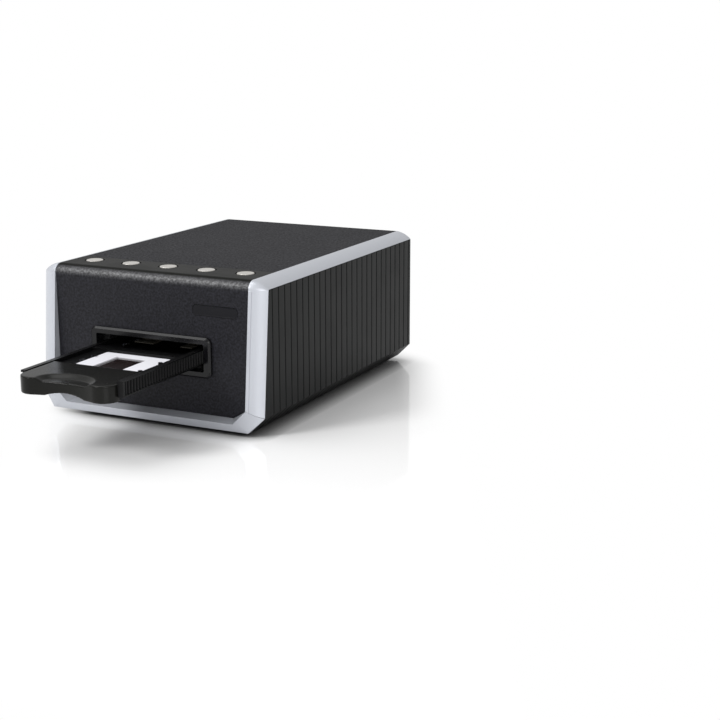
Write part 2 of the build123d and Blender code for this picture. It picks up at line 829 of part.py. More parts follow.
small_chip = chip_size / 2
second_row_y = board_front_y + 2 * chip_row
chips = (
    ((board_left_x + board_right_x) / 2, board_front_y + chip_row, chip_size, chip_size),
    (board_right_x - small_chip - 2 * chip_edge, second_row_y, small_chip, small_chip),
    (board_left_x + small_chip - chip_edge, second_row_y + chip_edge, small_chip / 2, small_chip),
)
with BuildPart() as board_chips:
    for x, y, width, depth in chips:
        box_between(
            (x - width / 2, y - depth / 2, board_face_z),
            (x + width / 2, y + depth / 2, board_face_z + chip_height),
        )
    for index in range(capacitor_count):
        post(
            board_left_x + board_post_inset + chip_edge,
            board_front_y + capacitor_pitch * (index + 1),
            board_face_z,
            board_face_z + capacitor_height,
            capacitor_radius,
        )
hand_in(board_chips, "board_chips")

with BuildPart() as power_jack:
    box_between(
        (jack_x - jack_width / 2, rear_face_y - jack_length, board_face_z),
        (jack_x + jack_width / 2, rear_face_y, board_face_z + jack_height),
    )
    with BuildSketch(Plane.XZ.offset(-rear_face_y)):
        with Locations((jack_x, board_face_z + jack_height / 2)):
            Circle(jack_bore)
            Circle(jack_pin_radius, mode=Mode.SUBTRACT)
    extrude(amount=jack_bore_depth, mode=Mode.SUBTRACT)
hand_in(power_jack, "power_jack")

with BuildPart() as usb_port:
    box_between(
        (usb_x - usb_width / 2, rear_face_y - usb_length, board_face_z),
        (usb_x + usb_width / 2, rear_face_y, board_face_z + usb_height),
    )
    usb_back_y = rear_face_y - usb_length
    usb_z = board_face_z + usb_height / 2
    box_between(
        (usb_x - usb_width / 2 + usb_wall, usb_back_y + usb_back_wall, board_face_z + usb_wall),
        (usb_x + usb_width / 2 - usb_wall, rear_face_y, board_face_z + usb_height - usb_wall),
        Mode.SUBTRACT,
    )
    box_between(
        (usb_x - usb_width / 4, usb_back_y + usb_back_wall / 2, usb_z - usb_tongue / 2),
        (usb_x + usb_width / 4, rear_face_y - usb_tongue_end, usb_z + usb_tongue / 2),
    )
hand_in(usb_port, "usb_port")

# ==== Power switch ================================================================================
switch_half_x = switch_width / 2
switch_half_z = switch_height / 2
rocker_half_x = switch_half_x - switch_rim - rocker_gap
rocker_half_z = switch_half_z - switch_rim - rocker_gap
with BuildPart() as switch_body:
    box_between(
        (switch_x - switch_half_x, rear_face_y - switch_depth, switch_z - switch_half_z),
        (switch_x + switch_half_x, rear_face_y, switch_z + switch_half_z),
    )
    for wider, low_y, high_y, mode in (
        (switch_rim, rear_face_y, rear_y, Mode.ADD),
        (-switch_rim, rear_face_y - switch_recess, rear_y + overcut, Mode.SUBTRACT),
    ):
        box_between(
            (switch_x - switch_half_x - wider, low_y, switch_z - switch_half_z - wider),
            (switch_x + switch_half_x + wider, high_y, switch_z + switch_half_z + wider),
            mode,
        )
    with Locations((switch_x, rear_face_y - pivot_depth, switch_z)):
        Cylinder(
            rocker_pivot_radius, switch_width - switch_rim, rotation=(0, 90, 0), mode=Mode.SUBTRACT
        )
hand_in(switch_body, "switch_body")

with BuildPart() as switch_rocker:
    pivot_y = rear_face_y - pivot_depth
    with BuildSketch(Plane.YZ.offset(switch_x - rocker_half_x)):
        Polygon(
            (pivot_y - rocker_keel, switch_z - rocker_keel),
            (pivot_y + rocker_pivot_radius, switch_z - rocker_half_z),
            (rear_y + rocker_gap, switch_z - rocker_half_z),
            (rear_y + 2 * rocker_gap, switch_z),
            (rear_y + rocker_proud, switch_z + rocker_half_z - rocker_nose),
            (pivot_y + rocker_pivot_radius, switch_z + rocker_half_z - rocker_gap),
            (pivot_y - rocker_keel, switch_z + rocker_keel),
            align=None,
        )
    extrude(amount=2 * rocker_half_x)
    with Locations((switch_x, pivot_y, switch_z)):
        Cylinder(
            rocker_pivot_radius - running_gap, switch_width - switch_rim - 2 * slide_gap, rotation=(0, 90, 0)
        )
hand_in(switch_rocker, "switch_rocker")

# ==== Film holder: tray with its rack =============================================================
bays = [bay_first_y + bay_pitch * index for index in range(bay_count)]
pocket_half = mount_side / 2 + bay_gap
rack_root_x = rack_line_x - dedendum_share * rack_module
rack_tip_x = rack_line_x + rack_addendum
tooth_slope = tan(radians(pressure_angle))
tooth_half = rack_pitch / 4 - tooth_backlash / 2  # at the pitch line
root_half = tooth_half + dedendum_share * rack_module * tooth_slope
tip_half = tooth_half - rack_addendum * tooth_slope
block_y = holder_front_y + rack_block
rack_first = ceil((block_y + root_half - feed_y) / rack_pitch - 0.5)
rack_last = int((holder_rear_y - feed_y) / rack_pitch) - 1


def rack_outline():
    """Comb outline of the toothed side, seen from above, with a gap at the pinion."""
    points = [(rack_wall_inner, holder_front_y), (rack_tip_x, holder_front_y)]
    points += [(rack_tip_x, block_y), (rack_root_x, block_y)]
    for tooth in range(rack_first, rack_last):
        middle = feed_y + (tooth + 0.5) * rack_pitch
        points += [(rack_root_x, middle - root_half), (rack_tip_x, middle - tip_half)]
        points += [(rack_tip_x, middle + tip_half), (rack_root_x, middle + root_half)]
    points += [(rack_root_x, holder_rear_y), (rack_wall_inner, holder_rear_y)]
    return points


with BuildPart() as holder_tray:
    box_between(
        (-tray_half, grip_block_y, tray_floor_z), (rack_wall_inner, holder_rear_y, tray_land_z)
    )
    for bay_y in bays:
        box_between(
            (-pocket_half, bay_y - pocket_half, pocket_floor_z),
            (pocket_half, bay_y + pocket_half, tray_land_z),
            Mode.SUBTRACT,
        )
        box_between(
            (-window_x / 2, bay_y - window_y / 2, tray_floor_z),
            (window_x / 2, bay_y + window_y / 2, pocket_floor_z),
            Mode.SUBTRACT,
        )
        box_between(
            (-tray_half, bay_y + pocket_half, tray_land_z),
            (rack_wall_inner, bay_y + pocket_half + divider_run, tray_land_z + divider_wall),
        )
    # left rail with its guiding lip
    for rail_x, rail_low_z in (
        (-tray_half - rail_wall, tray_floor_z),
        (-rail_lip_x, rail_top_z - rail_lip_wall),
    ):
        box_between((rail_x, rail_front_y, rail_low_z), (-tray_half, holder_rear_y, rail_top_z))
    # right wall: teeth between an upper and a lower lip
    with BuildSketch(Plane.XY.offset(wall_foot_z)):
        Polygon(*rack_outline(), align=None)
    extrude(amount=rack_top_z - wall_foot_z)
    for low in (wall_foot_z, rack_top_z - rack_lip):
        box_between((rack_wall_inner, holder_front_y, low), (rack_tip_x, holder_rear_y, low + rack_lip))
hand_in(holder_tray, "holder_tray")

# ==== Grip ========================================================================================
wave_rise = grip_waist_y - grip_bulge_y
bulge_x = grip_half - grip_corner
bulge_middle_y = grip_bulge_y + grip_corner
waist_radius = (bulge_x**2 + (grip_corner - wave_rise) ** 2 - grip_corner**2) / (2 * wave_rise)
waist_share = grip_corner / (grip_corner + waist_radius)
meet_x = bulge_x * (1 - waist_share)
meet_y = bulge_middle_y + (grip_waist_y - waist_radius - bulge_middle_y) * waist_share
with BuildPart() as holder_grip:
    with BuildSketch(Plane.XY.offset(grip_bottom_z)):
        with BuildLine():
            Polyline((0, grip_block_y), (grip_half, grip_block_y), (grip_half, bulge_middle_y))
            ThreePointArc(
                (grip_half, bulge_middle_y),
                (bulge_x + grip_corner / sqrt(2), bulge_middle_y - grip_corner / sqrt(2)),
                (meet_x, meet_y),
            )
            mirror(about=Plane.YZ)
            ThreePointArc((meet_x, meet_y), (0, grip_waist_y), (-meet_x, meet_y))
        make_face()
    extrude(amount=grip_top_z - grip_bottom_z)
    box_between((-grip_half, grip_block_y, tray_land_z), (grip_half, grip_back_y, grip_top_z))
    mount_front_y = bay_first_y - pocket_half
    box_between(
        (-grip_half, mount_front_y - bay_gap, tray_land_z),
        (grip_half, grip_back_y, grip_lap_z),
        Mode.SUBTRACT,
    )
    # thumb scoop and the arch under the skirt
    with BuildSketch(Plane.XY.offset(grip_top_z - scoop_depth)) as scoop_floor:
        with Locations((0, scoop_y)):
            Ellipse(scoop_radius_x - scoop_slope, scoop_radius_y - scoop_slope)
    with BuildSketch(Plane.XY.offset(grip_top_z)) as scoop_rim:
        with Locations((0, scoop_y)):
            Ellipse(scoop_radius_x, scoop_radius_y)
    loft(sections=[scoop_floor.sketch, scoop_rim.sketch], mode=Mode.SUBTRACT)
    with BuildSketch(Plane.XZ.offset(-grip_block_y)):
        with BuildLine():
            Line((-arch_half, grip_bottom_z), (arch_half, grip_bottom_z))
            ThreePointArc(
                (arch_half, grip_bottom_z), (0, grip_bottom_z + arch_rise), (-arch_half, grip_bottom_z)
            )
        make_face()
    extrude(amount=grip_block_y - grip_bulge_y + seam, mode=Mode.SUBTRACT)
hand_in(holder_grip, "holder_grip")

# ==== Slide mount, its film and the clips =========================================================
mount_top_z = pocket_floor_z + mount_wall
film_z = pocket_floor_z + mount_wall / 2
with BuildPart() as slide_mount:
    with BuildSketch(Plane.XY.offset(pocket_floor_z)):
        with Locations((0, bay_first_y)):
            RectangleRounded(mount_side, mount_side, mount_corner)
            Rectangle(mount_window_x, mount_window_y, mode=Mode.SUBTRACT)
    extrude(amount=mount_wall)
    box_between(
        (-film_x / 2 - film_gap, bay_first_y - film_y / 2 - film_gap, film_z - film_wall / 2),
        (film_x / 2 + film_gap, bay_first_y + film_y / 2 + film_gap, film_z + film_wall / 2),
        Mode.SUBTRACT,
    )
hand_in(slide_mount, "slide_mount")

with BuildPart() as slide_film:
    box_between(
        (-film_x / 2, bay_first_y - film_y / 2, film_z - film_wall / 2),
        (film_x / 2, bay_first_y + film_y / 2, film_z + film_wall / 2),
    )
hand_in(slide_film, "slide_film")

with BuildPart() as slide_clips:
    clip_foot_x = pocket_half + clip_foot
    clip_low = mount_top_z + clip_gap
    for bay_y in bays:
        for side in (-1, 1):
            for row in (-clip_row_y, clip_row_y):
                clip_x = side * clip_foot_x
                post(clip_x, bay_y + row, tray_land_z, clip_low + clip_wall, clip_radius / 2)
                post(side * (mount_side / 2 + clip_radius - clip_overlap), bay_y + row,
                     clip_low, clip_low + clip_wall, clip_radius)
hand_in(slide_clips, "slide_clips")

# ==== Feed shaft, pinion and gears ================================================================
drive_top_z = drive_gear_z + drive_gear_wall
bracket_top_z = drive_gear_z - gear_side_gap - bush_flange_wall
pinion_low_z = wall_foot_z + rack_lip + gear_side_gap
pinion_high_z = rack_top_z - rack_lip - gear_side_gap
with BuildPart() as feed_shaft:
    post(feed_x, feed_y, bracket_top_z - bracket_wall, pinion_high_z + shaft_end, shaft_radius)
hand_in(feed_shaft, "feed_shaft")

with BuildPart() as feed_pinion:
    outline = gear_outline(rack_module, pinion_teeth, rack_addendum)
    spur_gear(feed_x, feed_y, pinion_low_z, pinion_high_z, outline, shaft_radius)
hand_in(feed_pinion, "feed_pinion")

with BuildPart() as drive_gear:
    outline = gear_outline(drive_module, drive_teeth, drive_addendum)
    spur_gear(feed_x, feed_y, drive_gear_z, drive_top_z, outline, shaft_radius)
hand_in(drive_gear, "drive_gear")

with BuildPart() as motor_pinion:
    outline = gear_outline(drive_module, motor_teeth, drive_addendum)
    spur_gear(motor_x, feed_y, drive_gear_z, drive_top_z, outline, motor_shaft_radius)
hand_in(motor_pinion, "motor_pinion")

# ==== Stepper motor and its bracket ===============================================================
motor_top_z = bracket_top_z - bracket_wall
bracket_low_x = feed_x - standoff_x - standoff_radius - standoff_edge
bracket_high_x = motor_x + motor_radius + standoff_edge
standoffs = (
    (feed_x - standoff_x, feed_y - standoff_y),
    (feed_x - standoff_x, feed_y + standoff_y),
    (bracket_high_x - standoff_radius - standoff_edge, feed_y - standoff_near_y),
    (bracket_high_x - standoff_radius - standoff_edge, feed_y + standoff_near_y),
)
ear_places = [(motor_x, feed_y - motor_ear_reach), (motor_x, feed_y + motor_ear_reach)]
with BuildPart() as motor_shaft:
    post(motor_x, feed_y, motor_top_z - motor_height + 2 * motor_can_wall, drive_top_z + motor_shaft_end,
         motor_shaft_radius)
hand_in(motor_shaft, "motor_shaft")

with BuildPart() as stepper_motor:
    post(motor_x, feed_y, motor_top_z - motor_height, motor_top_z, motor_radius)
    fillet(stepper_motor.edges().group_by(Axis.Z)[0], motor_can_round)
    post(motor_x, feed_y, motor_top_z, bracket_top_z, motor_boss_radius)
    box_between(
        (motor_x - motor_ear_half, feed_y - motor_ear_reach - motor_ear_half, motor_top_z - motor_ear_wall),
        (motor_x + motor_ear_half, feed_y + motor_ear_reach + motor_ear_half, motor_top_z),
    )
    for x, y in ear_places:
        post(x, y, motor_top_z - motor_ear_wall, motor_top_z, screw_radius + screw_gap, Mode.SUBTRACT)
    post(motor_x, feed_y, motor_top_z - motor_height + motor_can_wall, bracket_top_z,
         motor_shaft_radius + running_gap, Mode.SUBTRACT)
hand_in(stepper_motor, "stepper_motor")

with BuildPart() as motor_bracket:
    box_between(
        (bracket_low_x, feed_y - bracket_half_y, motor_top_z),
        (bracket_high_x, feed_y + bracket_half_y, bracket_top_z),
    )
    post(feed_x, feed_y, motor_top_z, bracket_top_z, bush_radius, Mode.SUBTRACT)
    post(motor_x, feed_y, motor_top_z, bracket_top_z, motor_boss_radius + contact_gap, Mode.SUBTRACT)
    for x, y in ear_places:
        post(x, y, motor_top_z, bracket_top_z, screw_radius + screw_gap, Mode.SUBTRACT)
    for x, y in standoffs:
        post(x, y, bracket_top_z, deck_z, standoff_radius)
hand_in(motor_bracket, "motor_bracket")

with BuildPart() as motor_screws:
    for x, y in ear_places:
        post(x, y, bracket_top_z, bracket_top_z + screw_head, screw_head_radius)
        post(x, y, bracket_top_z - motor_screw_length, bracket_top_z, screw_radius)
hand_in(motor_screws, "motor_screws")

with BuildPart() as shaft_bushes:
    post(feed_x, feed_y, motor_top_z, bracket_top_z, bush_radius)
    post(feed_x, feed_y, bracket_top_z, bracket_top_z + bush_flange_wall, bush_flange_radius)
    post(feed_x, feed_y, deck_z, deck_top_z, bush_radius)
    post(feed_x, feed_y, deck_top_z, deck_top_z + bush_flange_wall, bush_flange_radius)
    post(feed_x, feed_y, motor_top_z, deck_top_z + bush_flange_wall, shaft_radius + running_gap,
         Mode.SUBTRACT)
hand_in(shaft_bushes, "shaft_bushes")

# ==== Deck and guides =============================================================================
with BuildPart() as feed_deck:
    box_between((-deck_half, deck_front_y, deck_z), (deck_half, deck_rear_y, deck_top_z))
    box_between(
        (deck_half, feed_y - deck_tab_half, deck_z), (deck_tab_x, feed_y + deck_tab_half, deck_top_z)
    )
    for side in (-1, 1):
        box_between(
            (side * runner_x - runner_wall / 2, guide_front_y, deck_top_z),
            (side * runner_x + runner_wall / 2, guide_rear_y, tray_floor_z - slide_gap),
        )
    post(feed_x, feed_y, deck_z, deck_top_z, bush_radius, Mode.SUBTRACT)
    box_between(
        (-scan_slit_x / 2, scan_y - scan_slit_y / 2, deck_z),
        (scan_slit_x / 2, scan_y + scan_slit_y / 2, deck_top_z),
        Mode.SUBTRACT,
    )
    for x, y in deck_posts:
        post(x, y, deck_z, deck_top_z, screw_radius + screw_gap, Mode.SUBTRACT)
hand_in(feed_deck, "feed_deck")

with BuildPart() as deck_screws:
    screw_pattern(deck_posts, deck_top_z, 1)
hand_in(deck_screws, "deck_screws")

with BuildPart() as left_guide:
    inner_x = -rail_lip_x - guide_gap
    box_between((inner_x - guide_wall, guide_front_y, deck_top_z), (inner_x, guide_rear_y, guide_top_z))
    box_between(
        (inner_x, guide_front_y, rail_top_z + guide_gap), (inner_x + guide_lip, guide_rear_y, guide_top_z)
    )
hand_in(left_guide, "left_guide")

with BuildPart() as right_guide:
    inner_x = rack_tip_x + guide_gap
    box_between((inner_x, guide_front_y, deck_top_z), (inner_x + guide_wall, guide_rear_y, guide_top_z))
    box_between(
        (inner_x - guide_lip, guide_front_y, rack_top_z + guide_gap), (inner_x, guide_rear_y, guide_top_z)
    )
    box_between(
        (inner_x - guide_lip, feed_y - pinion_port, deck_top_z),
        (inner_x + guide_wall, feed_y + pinion_port, guide_top_z),
        Mode.SUBTRACT,
    )
hand_in(right_guide, "right_guide")

# ==== Hold-down springs under their bridge ========================================================
bridge_rear_y = bridge_front_y + bridge_run
spring_front_y = guide_front_y + guide_gap
spring_pad_z = rail_top_z + guide_gap
spring_pad_rear_y = spring_front_y + spring_pad_run
bridge_half = rail_lip_x + guide_gap + guide_wall + bridge_overlap
with BuildPart() as guide_bridge:
    box_between(
        (-bridge_half, bridge_front_y, guide_top_z), (bridge_half, bridge_rear_y, guide_top_z + bridge_wall)
    )
hand_in(guide_bridge, "guide_bridge")

with BuildPart() as hold_down_springs:
    for low_x, high_x in spring_pads:
        with BuildSketch(Plane.YZ.offset(low_x)):
            with BuildLine():
                Polyline(
                    (spring_front_y, spring_pad_z),
                    (spring_pad_rear_y, spring_pad_z),
                    (bridge_front_y, guide_top_z - spring_wall),
                    (bridge_rear_y, guide_top_z - spring_wall),
                    (bridge_rear_y, guide_top_z),
                    (bridge_front_y - spring_wall / 2, guide_top_z),
                    (spring_pad_rear_y - spring_wall / 2, spring_pad_z + spring_wall),
                    (spring_front_y, spring_pad_z + spring_wall),
                    close=True,
                )
            make_face()
        extrude(amount=high_x - low_x)
hand_in(hold_down_springs, "hold_down_springs")

# ==== Scanning light ==============================================================================
lamp_z = guide_top_z + lamp_flange_wall
lamp_top_z = lamp_z + lamp_height
lamp_inner_x = lamp_half_x - lamp_wall
lamp_inner_y = lamp_half_y - lamp_wall
with BuildPart() as lamp_housing:
    box_between(
        (-bridge_half, scan_y - lamp_half_y, guide_top_z), (bridge_half, scan_y + lamp_half_y, lamp_z)
    )
    box_between(
        (-lamp_half_x, scan_y - lamp_half_y, lamp_z), (lamp_half_x, scan_y + lamp_half_y, lamp_top_z)
    )
    box_between(
        (-lamp_inner_x, scan_y - lamp_inner_y, lamp_z),
        (lamp_inner_x, scan_y + lamp_inner_y, lamp_top_z - lamp_wall),
        Mode.SUBTRACT,
    )
    box_between(
        (-scan_slit_x / 2, scan_y - scan_slit_y / 2, guide_top_z),
        (scan_slit_x / 2, scan_y + scan_slit_y / 2, lamp_z),
        Mode.SUBTRACT,
    )
hand_in(lamp_housing, "lamp_housing")

diffuser_half_x = scan_slit_x / 2 + diffuser_margin
diffuser_half_y = scan_slit_y / 2 + diffuser_margin
with BuildPart() as light_diffuser:
    box_between(
        (-diffuser_half_x, scan_y - diffuser_half_y, lamp_z),
        (diffuser_half_x, scan_y + diffuser_half_y, lamp_z + diffuser_wall),
    )
hand_in(light_diffuser, "light_diffuser")

led_board_z = lamp_top_z - lamp_wall - led_board_wall
with BuildPart() as led_board:
    box_between(
        (-lamp_inner_x + led_board_margin, scan_y - led_board_half, led_board_z),
        (lamp_inner_x - led_board_margin, scan_y + led_board_half, led_board_z + led_board_wall),
    )
hand_in(led_board, "led_board")

with BuildPart() as led_lamps:
    for index in range(led_count):
        led_x = (index - (led_count - 1) / 2) * led_pitch
        box_between(
            (led_x - led_size / 2, scan_y - led_size / 2, led_board_z - led_height),
            (led_x + led_size / 2, scan_y + led_size / 2, led_board_z),
        )
hand_in(led_lamps, "led_lamps")

# ==== Optics under the deck =======================================================================
bench_z = floor_z + bench_wall
upstand_y = sensor_board_y + board_wall
with BuildPart() as optics_bench:
    box_between((-bench_half, bench_front_y, floor_z), (bench_half, bench_rear_y, bench_z))
    box_between(
        (-bench_half, upstand_y, bench_z),
        (bench_half, upstand_y + upstand_wall, bench_z + sensor_board_height - upstand_wall),
    )
    # wedge behind the mirror
    mirror_foot_y = scan_y + mirror_reach
    wedge_back_y = scan_y - optic_z + bench_z
    with BuildSketch(Plane.YZ.offset(-mirror_half)):
        Polygon(
            (mirror_foot_y, bench_z),
            (wedge_back_y, bench_z),
            (wedge_back_y, optic_z + mirror_reach),
            (scan_y - mirror_reach, optic_z + mirror_reach),
            (mirror_foot_y, optic_z - mirror_reach),
            align=None,
        )
    extrude(amount=2 * mirror_half)
hand_in(optics_bench, "optics_bench")

with BuildPart() as fold_mirror:
    with BuildSketch(Plane.YZ.offset(-mirror_half + mirror_wall / 2)):
        step = mirror_wall / sqrt(2)
        Polygon(
            (scan_y - mirror_reach, optic_z + mirror_reach),
            (mirror_foot_y, optic_z - mirror_reach),
            (mirror_foot_y + step, optic_z - mirror_reach + step),
            (scan_y - mirror_reach + step, optic_z + mirror_reach + step),
            align=None,
        )
    extrude(amount=2 * mirror_half - mirror_wall)
hand_in(fold_mirror, "fold_mirror")

with BuildPart() as lens_block:
    box_between(
        (-lens_block_half, lens_block_y, bench_z),
        (lens_block_half, lens_block_y + lens_block_depth, optic_z + lens_radius + lens_block_wall),
    )
    with Locations((0, lens_block_y + lens_block_depth / 2, optic_z)):
        Cylinder(lens_radius, lens_block_depth, rotation=(90, 0, 0), mode=Mode.SUBTRACT)
hand_in(lens_block, "lens_block")

with BuildPart() as lens_barrel:
    with Locations((0, (lens_front_y + lens_rear_y) / 2, optic_z)):
        Cylinder(lens_radius, lens_rear_y - lens_front_y, rotation=(90, 0, 0))
        Cylinder(lens_bore, lens_rear_y - lens_front_y, rotation=(90, 0, 0), mode=Mode.SUBTRACT)
hand_in(lens_barrel, "lens_barrel")

with BuildPart() as lens_elements:
    inset = lens_element_inset + lens_element_wall / 2
    for y in (lens_front_y + inset, lens_rear_y - inset):
        with Locations((0, y, optic_z)):
            Cylinder(lens_bore, lens_element_wall, rotation=(90, 0, 0))
hand_in(lens_elements, "lens_elements")

with BuildPart() as sensor_board:
    box_between(
        (-sensor_board_half, sensor_board_y, bench_z),
        (sensor_board_half, sensor_board_y + board_wall, bench_z + sensor_board_height),
    )
hand_in(sensor_board, "sensor_board")

with BuildPart() as line_sensor:
    box_between(
        (-sensor_half, sensor_board_y - sensor_wall, optic_z - sensor_height / 2),
        (sensor_half, sensor_board_y, optic_z + sensor_height / 2),
    )
hand_in(line_sensor, "line_sensor")
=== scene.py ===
"""Film negative scanner: finishes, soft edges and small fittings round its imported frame."""

from math import cos, pi, radians, sin

import bmesh
import bpy
from bpy.props import FloatProperty, FloatVectorProperty, PointerProperty
from bpy.types import Operator, Panel, PropertyGroup
from mathutils import Matrix, Vector


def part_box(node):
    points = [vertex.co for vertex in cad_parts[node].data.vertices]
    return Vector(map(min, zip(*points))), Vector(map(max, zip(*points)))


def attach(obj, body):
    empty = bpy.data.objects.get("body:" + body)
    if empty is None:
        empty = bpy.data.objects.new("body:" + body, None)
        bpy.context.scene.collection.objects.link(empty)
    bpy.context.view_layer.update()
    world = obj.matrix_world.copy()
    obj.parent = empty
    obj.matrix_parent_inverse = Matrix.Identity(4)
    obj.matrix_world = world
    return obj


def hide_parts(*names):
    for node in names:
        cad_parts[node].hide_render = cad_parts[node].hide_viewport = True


bl_info = {
    "name": "Film Negative Scanner",
    "version": (1, 0, 0),
    "blender": (4, 5, 0),
    "location": "3D View > Sidebar > Scanner",
    "description": "Builds the finishes, soft edges and small fittings of a desktop film negative scanner",
    "category": "Object",
}

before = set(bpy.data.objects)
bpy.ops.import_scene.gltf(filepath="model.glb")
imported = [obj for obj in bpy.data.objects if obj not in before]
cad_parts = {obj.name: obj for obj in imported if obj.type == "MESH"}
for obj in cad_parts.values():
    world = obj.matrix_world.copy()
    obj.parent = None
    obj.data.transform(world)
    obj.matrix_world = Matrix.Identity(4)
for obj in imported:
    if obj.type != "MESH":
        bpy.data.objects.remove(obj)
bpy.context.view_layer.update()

MM = 0.001

# Camera of the reference view: angles in degrees, lengths in metres, focal length in pixels.
VIEW_SIDE = 720
VIEW_FOCAL = 1427.1
VIEW_AZIMUTH = 25.48
VIEW_ELEVATION = 13.90
VIEW_ROLL = -0.07
VIEW_OFFSET = (-0.11032, -0.02634, 1.02546)
SENSOR_WIDTH = 36.0
VIEW_SKEW = 0.477  # tangent of the camera's azimuth: the floor's shaded patch lies along the view

# Front panel: where its control strip starts, and the rounded edge below that handling has polished.
STRIP_FOOT = 100.2 * MM
STRIP_BLEND = 1.2 * MM
EDGE_FOOT = 94.5 * MM
EDGE_HEAD = 98.5 * MM
EDGE_BLEND = 3.0 * MM

BUTTON_COUNT = 5
RING_PITCH = 0.35 * MM

# Half loops beside each bay of the film holder.
BAY_COUNT = 4
BAY_PITCH = 62.0 * MM
LOOP_WIRE = 0.5 * MM
LOOP_SPACING = 13.0 * MM
LOOP_GAP = 1.4 * MM
LOOP_STEPS = 14
LOOP_SIDES = 6

# Raised arrow on the floor of the grip's thumb scoop.
SCOOP_DEPTH = 2.2 * MM
MARK_INSET = 4.5 * MM
MARK_WIDTH = 5.0 * MM
MARK_LENGTH = 3.6 * MM
MARK_HEIGHT = 0.3 * MM

# Pan-head screws.
SCREW_HEAD = 1.8 * MM
SCREW_HEAD_RADIUS = 2.9 * MM
SCREW_HEAD_ROUND = 0.35  # share of the head's height
SCREW_SHANK_RADIUS = 1.5 * MM
RECESS_RIM = 0.22  # share of the head's radius
RECESS_LOBE = 0.14  # share of the recess' radius

# Stage, in metres: the patch of the floor that keeps shadow and reflection, the reach of the painted shade
# in the floor's colour, and what lights it.
PATCH_MIDDLE = (0.035, -0.12)
PATCH_HALF = (0.115, 0.27)
PATCH_FADE = 0.045
PAINTED_SHADE_REACH = 0.014
FLOOR_HALF = 4.0
LIGHT_TARGET = (0.0, 0.0, 0.05)
AMBIENT_STRENGTH = 0.62


def srgb(red, green, blue):
    """A linear colour from the 0 to 255 values a picture shows."""
    linear = []
    for value in (red, green, blue):
        share = value / 255
        linear.append(share / 12.92 if share <= 0.04045 else ((share + 0.055) / 1.055) ** 2.4)
    return tuple(linear)


DUST_COLOUR = srgb(150, 148, 144)
WHITE = (1.0, 1.0, 1.0)


def colour_setting(label, text, values):
    return FloatVectorProperty(
        name=label, description=text, subtype="COLOR", size=3, min=0.0, max=1.0, default=srgb(*values)
    )


def length_setting(label, text, value):
    return FloatProperty(
        name=label, description=text, subtype="DISTANCE", unit="LENGTH", min=0.0, precision=5, default=value
    )


class ScannerColours(PropertyGroup):
    """Colours of the scanner's finishes."""

    silver: colour_setting("Silver frame", "Lacquer of the two trims and the sill", (188, 191, 198))
    front: colour_setting("Front panel", "Blue-black plastic of the front", (27, 27, 32))
    strip: colour_setting("Control strip", "Smooth plastic round the buttons", (17, 17, 15))
    cover: colour_setting("Top cover", "Grained charcoal plastic of the top", (40, 40, 43))
    side: colour_setting("Side panels", "Ribbed plastic of the sides", (17, 18, 18))
    button: colour_setting("Buttons", "Satin metal caps", (190, 187, 182))
    bezel: colour_setting("Bezel", "Plastic surround of the slot", (13, 13, 15))
    badge: colour_setting("Badge plate", "Blank plate on the front", (20, 20, 24))
    tray: colour_setting("Film holder", "Plastic of the toothed tray", (9, 9, 10))
    grip: colour_setting("Grip", "Plastic of the holder's grip", (20, 20, 18))
    mount: colour_setting("Slide mount", "White plastic mount", (236, 236, 242))
    film: colour_setting("Film", "Developed film in the mount", (36, 29, 29))
    rubber: colour_setting("Feet", "Rubber feet", (28, 28, 28))
    inner: colour_setting("Inner frame", "Black plastic of deck, guides and base", (24, 24, 25))
    circuit: colour_setting("Circuit boards", "Solder mask of the boards", (24, 84, 52))
    loop: colour_setting("Bay loops", "Glossy plastic of the loops beside the bays", (44, 45, 50))
    spring: colour_setting("Springs", "Dull coating of the hold-down springs", (88, 84, 76))
    acetal: colour_setting("Gears", "Pale gear plastic", (222, 220, 208))


class ScannerSizes(PropertyGroup):
    """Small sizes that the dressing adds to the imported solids."""

    shell_round: length_setting("Shell edge", "Rounding of the outer panels' edges", 0.45 * MM)
    trim_round: length_setting("Trim edge", "Rounding of the silver trims' edges", 0.7 * MM)
    grip_grid: length_setting("Grip grid", "Face size of the soft grip", 0.45 * MM)
    fine_round: length_setting("Fine edge", "Rounding of thin pieces' edges", 0.18 * MM)
    grain_depth: length_setting("Grain depth", "Height of the moulded grain", 0.05 * MM)
    recess_depth: length_setting("Screw recess", "Depth of the screws' recess", 1.0 * MM)
    badge_rim: length_setting("Badge rim", "Width of the raised rim round the badge plate", 0.7 * MM)
    loop_radius: length_setting("Bay loop", "Radius of the small wire loops beside each bay", 2.3 * MM)


# ---- Shader node groups -------------------------------------------------------------------------


def new_group(name, inputs, outputs):
    """An empty shader node group with named inputs and outputs."""
    group = bpy.data.node_groups.new(name, "ShaderNodeTree")
    for label, kind, value in inputs:
        socket = group.interface.new_socket(name=label, in_out="INPUT", socket_type=kind)
        socket.default_value = value
    for label, kind in outputs:
        group.interface.new_socket(name=label, in_out="OUTPUT", socket_type=kind)
    return group, group.nodes.new("NodeGroupInput"), group.nodes.new("NodeGroupOutput")


def math_node(tree, operation, first, second=None, clamp=False):
    """A Math node whose operands are sockets or numbers; gives its output."""
    node = tree.nodes.new("ShaderNodeMath")
    node.operation = operation
    node.use_clamp = clamp
    for socket, value in zip(node.inputs, (first, second)):
        if isinstance(value, bpy.types.NodeSocket):
            tree.links.new(value, socket)
        elif value is not None:
            socket.default_value = value
    return node.outputs[0]


